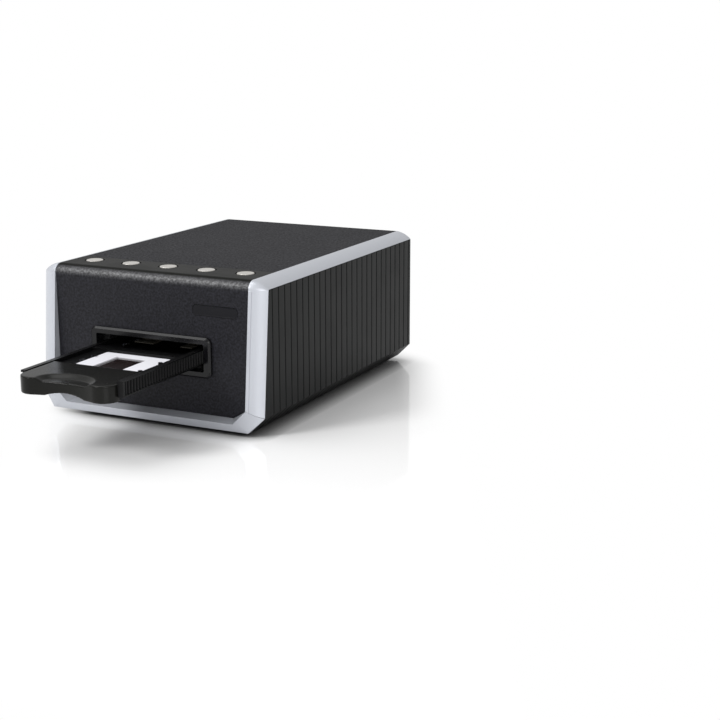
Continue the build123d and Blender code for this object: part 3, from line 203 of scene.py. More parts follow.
def spread(tree, value, low, high, to_low=0.0, to_high=1.0):
    """A smooth map of a value from one span to another."""
    node = tree.nodes.new("ShaderNodeMapRange")
    node.interpolation_type = "SMOOTHSTEP"
    tree.links.new(value, node.inputs["Value"])
    node.inputs["From Min"].default_value = low
    node.inputs["From Max"].default_value = high
    node.inputs["To Min"].default_value = to_low
    node.inputs["To Max"].default_value = to_high
    return node.outputs["Result"]


def texture(tree, kind, scale, vector=None, **settings):
    """A noise or cell texture on object coordinates; scale is a number or a socket."""
    node = tree.nodes.new(kind)
    if vector is None:
        vector = tree.nodes.new("ShaderNodeTexCoord").outputs["Object"]
    tree.links.new(vector, node.inputs["Vector"])
    if isinstance(scale, bpy.types.NodeSocket):
        tree.links.new(scale, node.inputs["Scale"])
    else:
        node.inputs["Scale"].default_value = scale
    for label, value in settings.items():
        if label in node.inputs:
            node.inputs[label].default_value = value
        else:
            setattr(node, label, value)
    return node


def grain_group():
    """Moulded plastic grain: rounded pebbles broken up by finer noise."""
    group, given, result = new_group(
        "moulded_grain",
        [("Scale", "NodeSocketFloat", 1500.0)],
        [("Height", "NodeSocketFloat"), ("Speckle", "NodeSocketFloat")],
    )
    scale = given.outputs["Scale"]
    cells = texture(group, "ShaderNodeTexVoronoi", scale, feature="SMOOTH_F1", Smoothness=0.6)
    finer = math_node(group, "MULTIPLY", scale, 1.7)
    noise = texture(group, "ShaderNodeTexNoise", finer, Detail=4.0, Roughness=0.62)
    pebble = math_node(group, "MULTIPLY", cells.outputs["Distance"], 0.9)
    height = math_node(group, "ADD", pebble, math_node(group, "MULTIPLY", noise.outputs["Fac"], 0.7))
    group.links.new(height, result.inputs["Height"])
    group.links.new(spread(group, noise.outputs["Fac"], 0.3, 0.7), result.inputs["Speckle"])
    return group


def handling_group():
    """Faint smears and hairline scratches of a part that is handled."""
    group, given, result = new_group(
        "handling_marks",
        [("Scale", "NodeSocketFloat", 22.0)],
        [("Smear", "NodeSocketFloat"), ("Hairlines", "NodeSocketFloat")],
    )
    scale = given.outputs["Scale"]
    broad = texture(group, "ShaderNodeTexNoise", scale, Detail=5.0, Roughness=0.6, Distortion=0.6)
    group.links.new(spread(group, broad.outputs["Fac"], 0.42, 0.72), result.inputs["Smear"])
    stretch = group.nodes.new("ShaderNodeMapping")
    stretch.inputs["Rotation"].default_value = (0.35, 0.2, 0.6)
    stretch.inputs["Scale"].default_value = (1.0, 26.0, 26.0)
    coordinates = group.nodes.new("ShaderNodeTexCoord").outputs["Object"]
    group.links.new(coordinates, stretch.inputs["Vector"])
    lines = texture(group, "ShaderNodeTexNoise", 36.0, stretch.outputs["Vector"], Detail=3.0)
    group.links.new(spread(group, lines.outputs["Fac"], 0.66, 0.72), result.inputs["Hairlines"])
    return group


def dust_group():
    """Fine dust that settles on upward faces."""
    group, given, result = new_group(
        "settled_dust", [("Scale", "NodeSocketFloat", 900.0)], [("Dust", "NodeSocketFloat")]
    )
    geometry = group.nodes.new("ShaderNodeNewGeometry")
    split = group.nodes.new("ShaderNodeSeparateXYZ")
    group.links.new(geometry.outputs["Normal"], split.inputs["Vector"])
    specks = texture(group, "ShaderNodeTexNoise", given.outputs["Scale"], Detail=2.0)
    drift = texture(group, "ShaderNodeTexNoise", 14.0, Detail=3.0)
    speck = spread(group, specks.outputs["Fac"], 0.6, 0.75)
    amount = math_node(group, "MULTIPLY", speck, spread(group, drift.outputs["Fac"], 0.4, 0.7))
    upward = spread(group, split.outputs["Z"], 0.5, 0.95)
    group.links.new(math_node(group, "MULTIPLY", amount, upward), result.inputs["Dust"])
    return group


def effect(tree, name, **values):
    """Places a shared effect group in a material, with its own values."""
    builders = {
        "moulded_grain": grain_group,
        "handling_marks": handling_group,
        "settled_dust": dust_group,
    }
    node = tree.nodes.new("ShaderNodeGroup")
    node.node_tree = bpy.data.node_groups.get(name) or builders[name]()
    for label, value in values.items():
        node.inputs[label].default_value = value
    return node


def mixed(tree, share, first, second):
    """Two colours mixed by a share; each is a socket or a plain colour."""
    node = tree.nodes.new("ShaderNodeMix")
    node.data_type = "RGBA"
    if isinstance(share, bpy.types.NodeSocket):
        tree.links.new(share, node.inputs["Factor"])
    else:
        node.inputs["Factor"].default_value = share
    for label, value in (("A", first), ("B", second)):
        socket = [s for s in node.inputs if s.name == label and s.type == "RGBA"][0]
        if isinstance(value, bpy.types.NodeSocket):
            tree.links.new(value, socket)
        else:
            socket.default_value = (*value, 1.0)
    return [s for s in node.outputs if s.type == "RGBA"][0]


def scaled(colour, factor):
    return tuple(min(1.0, value * factor) for value in colour)


def principled(name):
    """A new material, with its node tree and its surface shader."""
    material = bpy.data.materials.new(name)
    material.use_nodes = True
    return material, material.node_tree, material.node_tree.nodes["Principled BSDF"]


def object_place(tree):
    """The X, Y and Z outputs of the object's own coordinates."""
    split = tree.nodes.new("ShaderNodeSeparateXYZ")
    coordinates = tree.nodes.new("ShaderNodeTexCoord")
    tree.links.new(coordinates.outputs["Object"], split.inputs["Vector"])
    return split.outputs


def overlay(tree, share, colour):
    """Lays a colour over the surface's own, by a share."""
    socket = tree.nodes["Principled BSDF"].inputs["Base Color"]
    base = socket.links[0].from_socket
    tree.links.new(mixed(tree, share, base, colour), socket)


def relief(tree, height, distance, strength=1.0):
    """Bumps the surface by a height, on top of the bump that it has."""
    socket = tree.nodes["Principled BSDF"].inputs["Normal"]
    bump = tree.nodes.new("ShaderNodeBump")
    bump.inputs["Distance"].default_value = distance
    bump.inputs["Strength"].default_value = strength
    tree.links.new(height, bump.inputs["Height"])
    if socket.is_linked:
        tree.links.new(socket.links[0].from_socket, bump.inputs["Normal"])
    tree.links.new(bump.outputs["Normal"], socket)


# ---- Finishes -------------------------------------------------------------------------------------


def plain_finish(
    name,
    colour,
    roughness,
    metallic=0.0,
    grain=1500.0,
    depth=0.0,
    speckle=0.12,
    smear=0.08,
    dust=0.25,
    coat=0.0,
    coat_roughness=0.1,
    specular=0.5,
):
    """A material with speckle, smears, dust and a moulded grain."""
    material, tree, shader = principled(name)
    shader.inputs["Metallic"].default_value = metallic
    shader.inputs["Coat Weight"].default_value = coat
    shader.inputs["Coat Roughness"].default_value = coat_roughness
    shader.inputs["Specular IOR Level"].default_value = specular
    surface = effect(tree, "moulded_grain", Scale=grain)
    marks = effect(tree, "handling_marks")
    darker, lighter = scaled(colour, 1 - speckle), scaled(colour, 1 + speckle)
    tree.links.new(mixed(tree, surface.outputs["Speckle"], darker, lighter), shader.inputs["Base Color"])
    if dust:
        settled = effect(tree, "settled_dust")
        overlay(tree, math_node(tree, "MULTIPLY", settled.outputs["Dust"], dust), DUST_COLOUR)
    rough = math_node(tree, "MULTIPLY_ADD", marks.outputs["Smear"], smear)
    rough.node.inputs[2].default_value = roughness - smear / 2
    scratched = math_node(tree, "MULTIPLY", marks.outputs["Hairlines"], 0.05)
    tree.links.new(math_node(tree, "ADD", rough, scratched), shader.inputs["Roughness"])
    if depth:
        relief(tree, surface.outputs["Height"], depth)
    return material


def front_finish(colours, depth):
    """Front panel: grained face, smoother control strip on top and a polished edge between them."""
    material = plain_finish(
        "front_plastic", tuple(colours.front), 0.5, grain=400.0, depth=depth * 3.0, speckle=0.6, smear=0.04,
        dust=0.05, specular=0.2,
    )
    tree = material.node_tree
    shader = tree.nodes["Principled BSDF"]
    height = object_place(tree)["Z"]
    on_strip = spread(tree, height, STRIP_FOOT, STRIP_FOOT + STRIP_BLEND)
    overlay(tree, on_strip, tuple(colours.strip))
    rough = shader.inputs["Roughness"].links[0].from_socket
    smoother = math_node(tree, "MULTIPLY", on_strip, 0.1)
    tree.links.new(math_node(tree, "SUBTRACT", rough, smoother), shader.inputs["Roughness"])
    bump = shader.inputs["Normal"].links[0].from_node
    tree.links.new(spread(tree, on_strip, 0.0, 1.0, 1.0, 0.25), bump.inputs["Strength"])
    above_face = spread(tree, height, EDGE_FOOT, EDGE_FOOT + EDGE_BLEND)
    below_strip = spread(tree, height, EDGE_HEAD, EDGE_HEAD + EDGE_BLEND, 1.0, 0.0)
    on_edge = math_node(tree, "MULTIPLY", above_face, below_strip)
    groups = [node for node in tree.nodes if node.type == "GROUP"]
    grain = next(node for node in groups if node.node_tree.name == "moulded_grain")
    gloss = spread(tree, grain.outputs["Speckle"], 0.0, 1.0, 0.3, 0.95)
    off_strip = spread(tree, on_strip, 0.0, 1.0, 0.2, 0.05)
    specular = math_node(tree, "ADD", math_node(tree, "MULTIPLY", on_edge, gloss), off_strip)
    tree.links.new(specular, shader.inputs["Specular IOR Level"])
    return material


def cap_finish(colour, pitch):
    """Satin turned metal of the button caps: fine rings about each cap's own centre."""
    material = plain_finish(
        "button_satin", colour, 0.38, metallic=0.35, grain=2600.0, depth=0.000004, speckle=0.05, dust=0.1
    )
    tree = material.node_tree
    place = object_place(tree)
    wrap = tree.nodes.new("ShaderNodeMath")
    wrap.operation = "WRAP"
    tree.links.new(place["X"], wrap.inputs[0])
    wrap.inputs[1].default_value = pitch / 2
    wrap.inputs[2].default_value = -pitch / 2
    across = wrap.outputs[0]
    low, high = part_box("button_3")
    along = math_node(tree, "SUBTRACT", place["Y"], (low.y + high.y) / 2)
    squares = (math_node(tree, "MULTIPLY", across, across), math_node(tree, "MULTIPLY", along, along))
    radius = math_node(tree, "SQRT", math_node(tree, "ADD", *squares))
    rings = math_node(tree, "SINE", math_node(tree, "MULTIPLY", radius, 2 * pi / RING_PITCH))
    relief(tree, rings, 0.000008, 0.6)
    return material


def brushed_finish(name, colour, roughness, axis="Y"):
    """Metal drawn along one axis."""
    material = plain_finish(name, colour, roughness, metallic=1.0, grain=2400.0, speckle=0.04, dust=0.0)
    tree = material.node_tree
    coordinates = tree.nodes.new("ShaderNodeTexCoord")
    mapping = tree.nodes.new("ShaderNodeMapping")
    stretch = {"X": (1, 40, 40), "Y": (40, 1, 40), "Z": (40, 40, 1)}[axis]
    mapping.inputs["Scale"].default_value = stretch
    tree.links.new(coordinates.outputs["Object"], mapping.inputs["Vector"])
    lines = texture(tree, "ShaderNodeTexNoise", 90.0, mapping.outputs["Vector"], Detail=3.0)
    relief(tree, lines.outputs["Fac"], 0.00001, 0.5)
    return material


def glass_finish(name, colour, roughness, ior):
    """Clear glass or plastic with a trace of dust on it."""
    material, tree, shader = principled(name)
    shader.inputs["Transmission Weight"].default_value = 1.0
    shader.inputs["IOR"].default_value = ior
    settled = effect(tree, "settled_dust", Scale=1400.0)
    dusty = mixed(tree, settled.outputs["Dust"], colour, srgb(200, 200, 196))
    tree.links.new(dusty, shader.inputs["Base Color"])
    marks = effect(tree, "handling_marks", Scale=60.0)
    rough = math_node(tree, "MULTIPLY_ADD", marks.outputs["Smear"], 0.06)
    rough.node.inputs[2].default_value = roughness
    tree.links.new(rough, shader.inputs["Roughness"])
    return material


def circuit_finish(colour):
    """Solder mask with copper tracks showing through as a paler net."""
    material = plain_finish(
        "circuit_board", colour, 0.35, grain=1200.0, depth=0.000006, speckle=0.08, dust=0.1, coat=0.4
    )
    tree = material.node_tree
    tracks = texture(
        tree, "ShaderNodeTexVoronoi", 260.0, distance="MANHATTAN", feature="DISTANCE_TO_EDGE"
    )
    overlay(tree, spread(tree, tracks.outputs["Distance"], 0.03, 0.07, 0.45, 0.0), scaled(colour, 2.2))
    return material


# ---- Meshes -----------------------------------------------------------------------------------------


def finish_piece(mesh_data, name, material, body, smooth_angle=35.0, nodes=()):
    """Makes an object of a bmesh, rides it on a body and hides the nodes it stands for."""
    data = bpy.data.meshes.new(name)
    mesh_data.to_mesh(data)
    mesh_data.free()
    data.materials.append(material)
    piece = bpy.data.objects.new(name, data)
    bpy.context.scene.collection.objects.link(piece)
    data.shade_smooth()
    data.set_sharp_from_angle(angle=radians(smooth_angle))
    even = piece.modifiers.new("even_normals", "WEIGHTED_NORMAL")
    even.keep_sharp = True
    even.weight = 100
    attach(piece, body)
    if nodes:
        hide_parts(*nodes)
    return piece


def node_copy(node):
    """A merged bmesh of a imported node, with its flat faces whole again."""
    mesh = bmesh.new()
    mesh.from_mesh(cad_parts[node].data)
    bmesh.ops.remove_doubles(mesh, verts=mesh.verts, dist=0.002 * MM)
    bmesh.ops.dissolve_limit(
        mesh, angle_limit=radians(0.5), verts=mesh.verts[:], edges=mesh.edges[:],
        use_dissolve_boundaries=False,
    )
    return mesh


def rounded(node, name, width, material, body, segments=2):
    """A copy of a node with its sharp edges rounded, standing for that node."""
    mesh = node_copy(node)
    inner = [edge for edge in mesh.edges if len(edge.link_faces) == 2 and edge.calc_length() > width]
    sharp = [edge for edge in inner if edge.calc_face_angle(0.0) > radians(32.0)]
    bmesh.ops.bevel(
        mesh, geom=sharp, offset=width, offset_type="OFFSET", affect="EDGES", segments=segments,
        profile=0.5, clamp_overlap=True, material=-1,
    )
    return finish_piece(mesh, name, material, body, 40.0, (node,))


def moulded(node, name, voxel, passes, material, body):
    """A copy of a node with every corner run soft, as on a thick moulding, standing for that node."""
    piece = finish_piece(node_copy(node), name, material, body, 180.0, (node,))
    piece.modifiers.remove(piece.modifiers["even_normals"])
    faces = piece.modifiers.new("even_faces", "REMESH")
    faces.mode = "VOXEL"
    faces.voxel_size = voxel
    faces.use_smooth_shade = True
    corners = piece.modifiers.new("soft_corners", "SMOOTH")
    corners.factor = 0.5
    corners.iterations = passes
    return piece


def end_face(verts, up):
    """The highest face at some vertices, or the lowest where up is -1."""
    faces = {face for vert in verts for face in vert.link_faces}
    return max(faces, key=lambda face: (up * face.calc_center_median().z, face.calc_area()))


def add_cylinder(mesh, x, y, z, radius, height, sides):
    """An upright cylinder about its middle; gives its vertices."""
    made = bmesh.ops.create_cone(
        mesh, cap_ends=True, segments=sides, radius1=radius, radius2=radius, depth=height,
        matrix=Matrix.Translation((x, y, z)),
    )
    return made["verts"]


def raise_face(mesh, face, height):
    """Extrudes a face straight up by a height, or down where that is negative."""
    pushed = bmesh.ops.extrude_face_region(mesh, geom=[face])
    verts = [item for item in pushed["geom"] if isinstance(item, bmesh.types.BMVert)]
    bmesh.ops.translate(mesh, verts=verts, vec=(0, 0, height))


def add_screw(mesh, x, y, face_z, up, shank, recess):
    """A pan-head screw with a lobed recess; up is 1 where its head is above its shank, or -1."""
    verts = add_cylinder(mesh, x, y, face_z + up * SCREW_HEAD / 2, SCREW_HEAD_RADIUS, SCREW_HEAD, 24)
    bevelled = bmesh.ops.bevel(
        mesh, geom=end_face(verts, up).edges[:], offset=SCREW_HEAD * SCREW_HEAD_ROUND, offset_type="OFFSET",
        affect="EDGES", segments=3, profile=0.5, clamp_overlap=True, material=-1,
    )
    cap = end_face(bevelled["verts"], up)
    bmesh.ops.inset_region(mesh, faces=[cap], thickness=SCREW_HEAD_RADIUS * RECESS_RIM)
    for index, vert in enumerate(cap.verts):
        pull = 1 - RECESS_LOBE + RECESS_LOBE * cos(index * pi / 2)
        vert.co.x = x + (vert.co.x - x) * pull
        vert.co.y = y + (vert.co.y - y) * pull
    raise_face(mesh, cap, -up * recess)
    bmesh.ops.delete(mesh, geom=[cap], context="FACES_ONLY")
    add_cylinder(mesh, x, y, face_z - up * shank / 2, SCREW_SHANK_RADIUS, shank, 16)


class SCANNER_OT_silver_frame(Operator):
    """Gives the two trims and the sill their soft edges and silver lacquer"""

    bl_idname = "scanner.silver_frame"
    bl_label = "Silver frame"

    def execute(self, context):
        colours, sizes = context.scene.scanner_colours, context.scene.scanner_sizes
        lacquer = plain_finish(
            "silver_lacquer", tuple(colours.silver), 0.36, metallic=0.35, grain=5200.0, depth=0.000003,
            speckle=0.045, smear=0.05, dust=0.0, coat=0.25, coat_roughness=0.18,
        )
        for node in ("right_trim", "left_trim", "front_sill"):
            rounded(node, node + "_lacquered", sizes.trim_round, lacquer, "housing")
        return {"FINISHED"}


class SCANNER_OT_side_panels(Operator):
    """Gives the ribbed side panels their soft edges and plastic"""

    bl_idname = "scanner.side_panels"
    bl_label = "Side panels"

    def execute(self, context):
        colours, sizes = context.scene.scanner_colours, context.scene.scanner_sizes
        plastic = plain_finish(
            "side_plastic", tuple(colours.side), 0.45, grain=2100.0, depth=sizes.grain_depth * 0.25,
            speckle=0.14, smear=0.04, dust=0.0, specular=0.12,
        )
        for node in ("right_side_panel", "left_side_panel"):
            rounded(node, node + "_ribbed", sizes.fine_round, plastic, "housing")
        return {"FINISHED"}


class SCANNER_OT_top_cover(Operator):
    """Gives the top cover its soft edges and grained plastic"""

    bl_idname = "scanner.top_cover"
    bl_label = "Top cover"

    def execute(self, context):
        colours, sizes = context.scene.scanner_colours, context.scene.scanner_sizes
        grained = plain_finish(
            "cover_plastic", tuple(colours.cover), 0.6, grain=380.0, depth=sizes.grain_depth * 5.0,
            speckle=0.95, smear=0.03, dust=0.05, specular=0.07,
        )
        rounded("top_cover", "top_cover_grained", sizes.shell_round, grained, "housing")
        return {"FINISHED"}


class SCANNER_OT_front(Operator):
    """Gives the front panel, the slot's bezel and the badge plate their soft edges and plastics"""

    bl_idname = "scanner.front"
    bl_label = "Front, bezel and badge plate"

    def execute(self, context):
        colours, sizes = context.scene.scanner_colours, context.scene.scanner_sizes
        front = front_finish(colours, sizes.grain_depth)
        rounded("front_panel", "front_panel_grained", sizes.shell_round, front, "housing")
        surround = plain_finish(
            "bezel_plastic", tuple(colours.bezel), 0.2, grain=2400.0, depth=0.000004, dust=0.03,
            specular=0.3,
        )
        rounded("slot_bezel", "slot_bezel_soft", sizes.shell_round, surround, "housing", 3)
        plate = plain_finish(
            "badge_plastic", tuple(colours.badge), 0.32, grain=2600.0, depth=0.000003, dust=0.0,
            specular=0.2,
        )
        mesh = node_copy("badge_plate")
        face = min(mesh.faces, key=lambda item: (round(item.normal.y, 2), -item.calc_area()))
        rim = sizes.badge_rim / 2
        bmesh.ops.inset_region(mesh, faces=[face], thickness=rim)
        bmesh.ops.inset_region(mesh, faces=[face], thickness=rim, depth=-0.7 * rim)
        finish_piece(mesh, "badge_plate_rimmed", plate, "housing", nodes=("badge_plate",))
        return {"FINISHED"}


class SCANNER_OT_buttons(Operator):
    """Gives the round buttons their turned satin metal"""

    bl_idname = "scanner.buttons"
    bl_label = "Buttons"

    def execute(self, context):
        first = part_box("button_1")
        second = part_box("button_2")
        cap = cap_finish(tuple(context.scene.scanner_colours.button), second[0].x - first[0].x)
        for index in range(BUTTON_COUNT):
            paint("button_" + str(index + 1), cap)
        return {"FINISHED"}


class SCANNER_OT_film_holder(Operator):
    """Gives the tray, grip, clips, slide mount and film their soft edges and finishes"""

    bl_idname = "scanner.film_holder"
    bl_label = "Film holder"

    def execute(self, context):
        colours, sizes = context.scene.scanner_colours, context.scene.scanner_sizes
        black = plain_finish(
            "tray_plastic", tuple(colours.tray), 0.34, grain=2300.0, depth=0.000006, speckle=0.1, dust=0.03,
            specular=0.18,
        )
        rounded("holder_tray", "holder_tray_soft", sizes.fine_round, black, "holder")
        soft = plain_finish(
            "grip_plastic", tuple(colours.grip), 0.22, grain=2300.0, depth=0.000012, speckle=0.12,
            smear=0.04, dust=0.03, specular=0.16,
        )
        moulded("holder_grip", "holder_grip_soft", sizes.grip_grid, 14, soft, "holder")
        paint("slide_clips", black)
        bay_loops(sizes.loop_radius, plain_finish(
            "loop_plastic", tuple(colours.loop), 0.16, grain=2300.0, speckle=0.1, smear=0.02, dust=0.0,
        ))
        scoop_mark(black)
        white = plain_finish(
            "mount_plastic", tuple(colours.mount), 0.42, grain=1900.0, depth=0.000008, speckle=0.02,
            dust=0.0,
        )
        rounded("slide_mount", "slide_mount_soft", sizes.fine_round, white, "holder")
        paint("slide_film", plain_finish(
            "developed_film", tuple(colours.film), 0.16, grain=700.0, speckle=0.5, dust=0.0, coat=0.5,
        ))
        return {"FINISHED"}


def half_loop(mesh, middle, radius):
    """Adds a flat half ring of wire that opens to the right."""
    rings = []
    for step in range(LOOP_STEPS + 1):
        turn = pi * step / LOOP_STEPS + pi / 2
        out = Vector((cos(turn), sin(turn), 0.0))
        ring = []
        for side in range(LOOP_SIDES):
            angle = 2 * pi * side / LOOP_SIDES
            lift = Vector((0, 0, LOOP_WIRE * sin(angle)))
            ring.append(mesh.verts.new(middle + out * (radius + LOOP_WIRE * cos(angle)) + lift))
        rings.append(ring)
    for before, after in zip(rings, rings[1:]):
        for side in range(LOOP_SIDES):
            other = (side + 1) % LOOP_SIDES
            mesh.faces.new((before[side], before[other], after[other], after[side]))
    mesh.faces.new(rings[0])
    mesh.faces.new(reversed(rings[-1]))


def bay_loops(radius, material):
    """Half loops of thin wire along the left edge of every bay, level with the mount's clips."""
    mount_low, mount_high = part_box("slide_mount")
    clips_low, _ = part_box("slide_clips")
    first_y = (mount_low.y + mount_high.y) / 2
    mesh = bmesh.new()
    for bay in range(BAY_COUNT):
        for place in (-1, 0, 1):
            y = first_y + bay * BAY_PITCH + place * LOOP_SPACING
            half_loop(mesh, Vector((mount_low.x - LOOP_GAP, y, clips_low.z)), radius)
    bmesh.ops.recalc_face_normals(mesh, faces=mesh.faces)
    finish_piece(mesh, "bay_loops", material, "holder", smooth_angle=60.0)


def scoop_mark(material):
    """The small raised arrow on the floor of the thumb scoop, pointing to the scanner."""
    low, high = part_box("holder_grip")
    floor_z = high.z - SCOOP_DEPTH
    foot_y = low.y + MARK_INSET
    outline = ((-MARK_WIDTH / 2, foot_y), (MARK_WIDTH / 2, foot_y), (0, foot_y + MARK_LENGTH))
    mesh = bmesh.new()
    corners = [mesh.verts.new((x, y, floor_z - MARK_HEIGHT)) for x, y in outline]
    raise_face(mesh, mesh.faces.new(corners), 2 * MARK_HEIGHT)
    bmesh.ops.recalc_face_normals(mesh, faces=mesh.faces)
    finish_piece(mesh, "scoop_mark", material, "holder")


class SCANNER_OT_screws(Operator):
    """Makes the screws of the base and the deck with lobed recesses"""

    bl_idname = "scanner.screws"
    bl_label = "Screws"

    def execute(self, context):
        sizes = context.scene.scanner_sizes
        steel = brushed_finish("screw_steel", srgb(150, 150, 152), 0.3)
        for node, up in (("deck_screws", 1), ("base_screws", -1)):
            mesh = bmesh.new()
            source = node_copy(node)
            low = min(vert.co.z for vert in source.verts)
            high = max(vert.co.z for vert in source.verts)
            face_z = high - SCREW_HEAD if up > 0 else low + SCREW_HEAD
            for x, y in screw_places(source):
                add_screw(mesh, x, y, face_z, up, high - low - SCREW_HEAD, sizes.recess_depth)
            source.free()
            finish_piece(mesh, node + "_lobed", steel, "housing", nodes=(node,))
        return {"FINISHED"}


def screw_places(mesh):
    """Middle of each loose part of a bmesh, seen from above."""
    seen = set()
    places = []
    for start in mesh.verts:
        if start in seen:
            continue
        island = []
        grow = [start]
        seen.add(start)
        while grow:
            vert = grow.pop()
            island.append(vert)
            reached = [edge.other_vert(vert) for edge in vert.link_edges]
            fresh = [other for other in reached if other not in seen]
            seen.update(fresh)
            grow.extend(fresh)
        across = [vert.co.x for vert in island]
        along = [vert.co.y for vert in island]
        places.append(((min(across) + max(across)) / 2, (min(along) + max(along)) / 2))
    return places


def paint(node, material):
    """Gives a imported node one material; its mesh is left alone."""
    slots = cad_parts[node].data.materials
    slots.clear()
    slots.append(material)


class SCANNER_OT_inner_parts(Operator):
    """Gives the parts inside, the rear and the underside their finishes"""

    bl_idname = "scanner.inner_parts"
    bl_label = "Inner parts, rear and underside"

    def execute(self, context):
        colours = context.scene.scanner_colours
        inner = plain_finish(
            "inner_plastic", tuple(colours.inner), 0.5, grain=1700.0, depth=0.00002, speckle=0.16, dust=0.1,
        )
        rear = plain_finish(
            "rear_plastic", tuple(colours.inner), 0.48, depth=0.00003, speckle=0.18, dust=0.0,
        )
        steel = brushed_finish("drawn_steel", srgb(168, 168, 170), 0.28)
        spring = plain_finish("spring_coating", tuple(colours.spring), 0.5, metallic=0.3, depth=0.000006)
        aluminium = brushed_finish("cast_aluminium", srgb(186, 187, 190), 0.42, "X")
        brass = brushed_finish("turned_brass", srgb(196, 160, 92), 0.26, "Z")
        chip = plain_finish("chip_plastic", srgb(26, 26, 27), 0.46, grain=1800.0, depth=0.000008, dust=0.1)
        gear = plain_finish(
            "gear_plastic", tuple(colours.acetal), 0.4, grain=1700.0, depth=0.000006, speckle=0.03, dust=0.1,
        )
        opal = plain_finish("opal_plastic", srgb(236, 236, 232), 0.55, depth=0.000006, speckle=0.02)
        rubber = plain_finish(
            "foot_rubber", tuple(colours.rubber), 0.75, grain=1100.0, depth=0.00003, speckle=0.15,
        )
        silvered = plain_finish(
            "silvered_glass", srgb(232, 234, 236), 0.03, metallic=1.0, speckle=0.01, smear=0.02, dust=0.05,
        )
        lens = glass_finish("lens_glass", srgb(236, 240, 242), 0.0, 1.52)
        lamp = glass_finish("lamp_resin", srgb(240, 232, 170), 0.1, 1.45)
        board = circuit_finish(tuple(colours.circuit))
        finishes = {
            inner: ("feed_deck", "left_guide", "right_guide", "guide_bridge", "lamp_housing", "lens_barrel"),
            rear: ("base_plate", "rear_panel"),
            spring: ("hold_down_springs",),
            steel: ("motor_bracket", "motor_screws", "usb_port", "feed_shaft", "motor_shaft"),
            aluminium: ("optics_bench", "lens_block", "stepper_motor"),
            brass: ("shaft_bushes", "motor_pinion"),
            chip: (
                "board_chips", "power_jack", "switch_body", "switch_rocker", "button_switches",
                "line_sensor",
            ),
            gear: ("feed_pinion", "drive_gear"),
            opal: ("light_diffuser",),
            rubber: ("rubber_feet",),
            silvered: ("fold_mirror",),
            lens: ("lens_elements",),
            lamp: ("led_lamps",),
            board: ("button_board", "main_board", "sensor_board", "led_board"),
        }
        for material, nodes in finishes.items():
            for node in nodes:
                paint(node, material)
        return {"FINISHED"}


# ---- Stage ---------------------------------------------------------------------------------------------


def soft_light(name, place, side, power):
    """A square soft light that faces the scanner."""
    data = bpy.data.lights.new(name, "AREA")
    data.shape = "SQUARE"
    data.size = side
    data.energy = power
    light = bpy.data.objects.new(name, data)
    bpy.context.scene.collection.objects.link(light)
    light.location = place
    aim = (Vector(LIGHT_TARGET) - Vector(place)).to_track_quat("-Z", "Y")
    light.rotation_euler = aim.to_euler()


def mixed_shaders(tree, share, first, second):
    """Two shader outputs mixed by a share."""
    mix = tree.nodes.new("ShaderNodeMixShader")
    for socket, value in zip(mix.inputs, (share, first, second)):
        tree.links.new(value, socket)
    return mix.outputs["Shader"]


def floor_material():
    """Pale glossy floor with painted shade darkening its colour close to the object, plain white away from
    the object and clear from below.
    """
    material, tree, shader = principled("pale_floor")
    # Painted shade: ambient occlusion darkens the floor's base colour towards grey beside and under the
    # scanner.
    painted_shade_occlusion = tree.nodes.new("ShaderNodeAmbientOcclusion")
    painted_shade_occlusion.samples = 8
    painted_shade_occlusion.inputs["Distance"].default_value = PAINTED_SHADE_REACH
    shade = math_node(tree, "POWER", painted_shade_occlusion.outputs["AO"], 1.2)
    tree.links.new(mixed(tree, shade, srgb(60, 60, 60), WHITE), shader.inputs["Base Color"])
    shader.inputs["Roughness"].default_value = 0.07
    place = object_place(tree)
    skewed = math_node(tree, "MULTIPLY_ADD", place["Y"], VIEW_SKEW)
    tree.links.new(place["X"], skewed.node.inputs[2])
    flat = tree.nodes.new("ShaderNodeCombineXYZ")
    for label, value, middle, half in zip("XY", (skewed, place["Y"]), PATCH_MIDDLE, PATCH_HALF):
        off = math_node(tree, "ABSOLUTE", math_node(tree, "SUBTRACT", value, middle))
        outside = math_node(tree, "MAXIMUM", math_node(tree, "SUBTRACT", off, half), 0.0)
        tree.links.new(outside, flat.inputs[label])
    away = tree.nodes.new("ShaderNodeVectorMath")
    away.operation = "LENGTH"
    tree.links.new(flat.outputs["Vector"], away.inputs[0])
    far = spread(tree, away.outputs["Value"], 0.0, PATCH_FADE)
    path = tree.nodes.new("ShaderNodeLightPath")
    seen = math_node(tree, "MAXIMUM", path.outputs["Is Camera Ray"], path.outputs["Is Glossy Ray"])
    white = tree.nodes.new("ShaderNodeEmission").outputs["Emission"]
    above = mixed_shaders(tree, math_node(tree, "MULTIPLY", far, seen), shader.outputs["BSDF"], white)
    from_below = tree.nodes.new("ShaderNodeNewGeometry").outputs["Backfacing"]
    clear = tree.nodes.new("ShaderNodeBsdfTransparent").outputs["BSDF"]
    surface = mixed_shaders(tree, from_below, above, clear)
    tree.links.new(surface, tree.nodes["Material Output"].inputs["Surface"])
    return material


def studio_floor(scene):
    """Wide floor under the feet."""
    mesh = bmesh.new()
    bmesh.ops.create_grid(mesh, x_segments=1, y_segments=1, size=FLOOR_HALF)
    data = bpy.data.meshes.new("studio_floor")
    mesh.to_mesh(data)
    mesh.free()
    data.materials.append(floor_material())
    floor = bpy.data.objects.new("studio_floor", data)
    scene.collection.objects.link(floor)


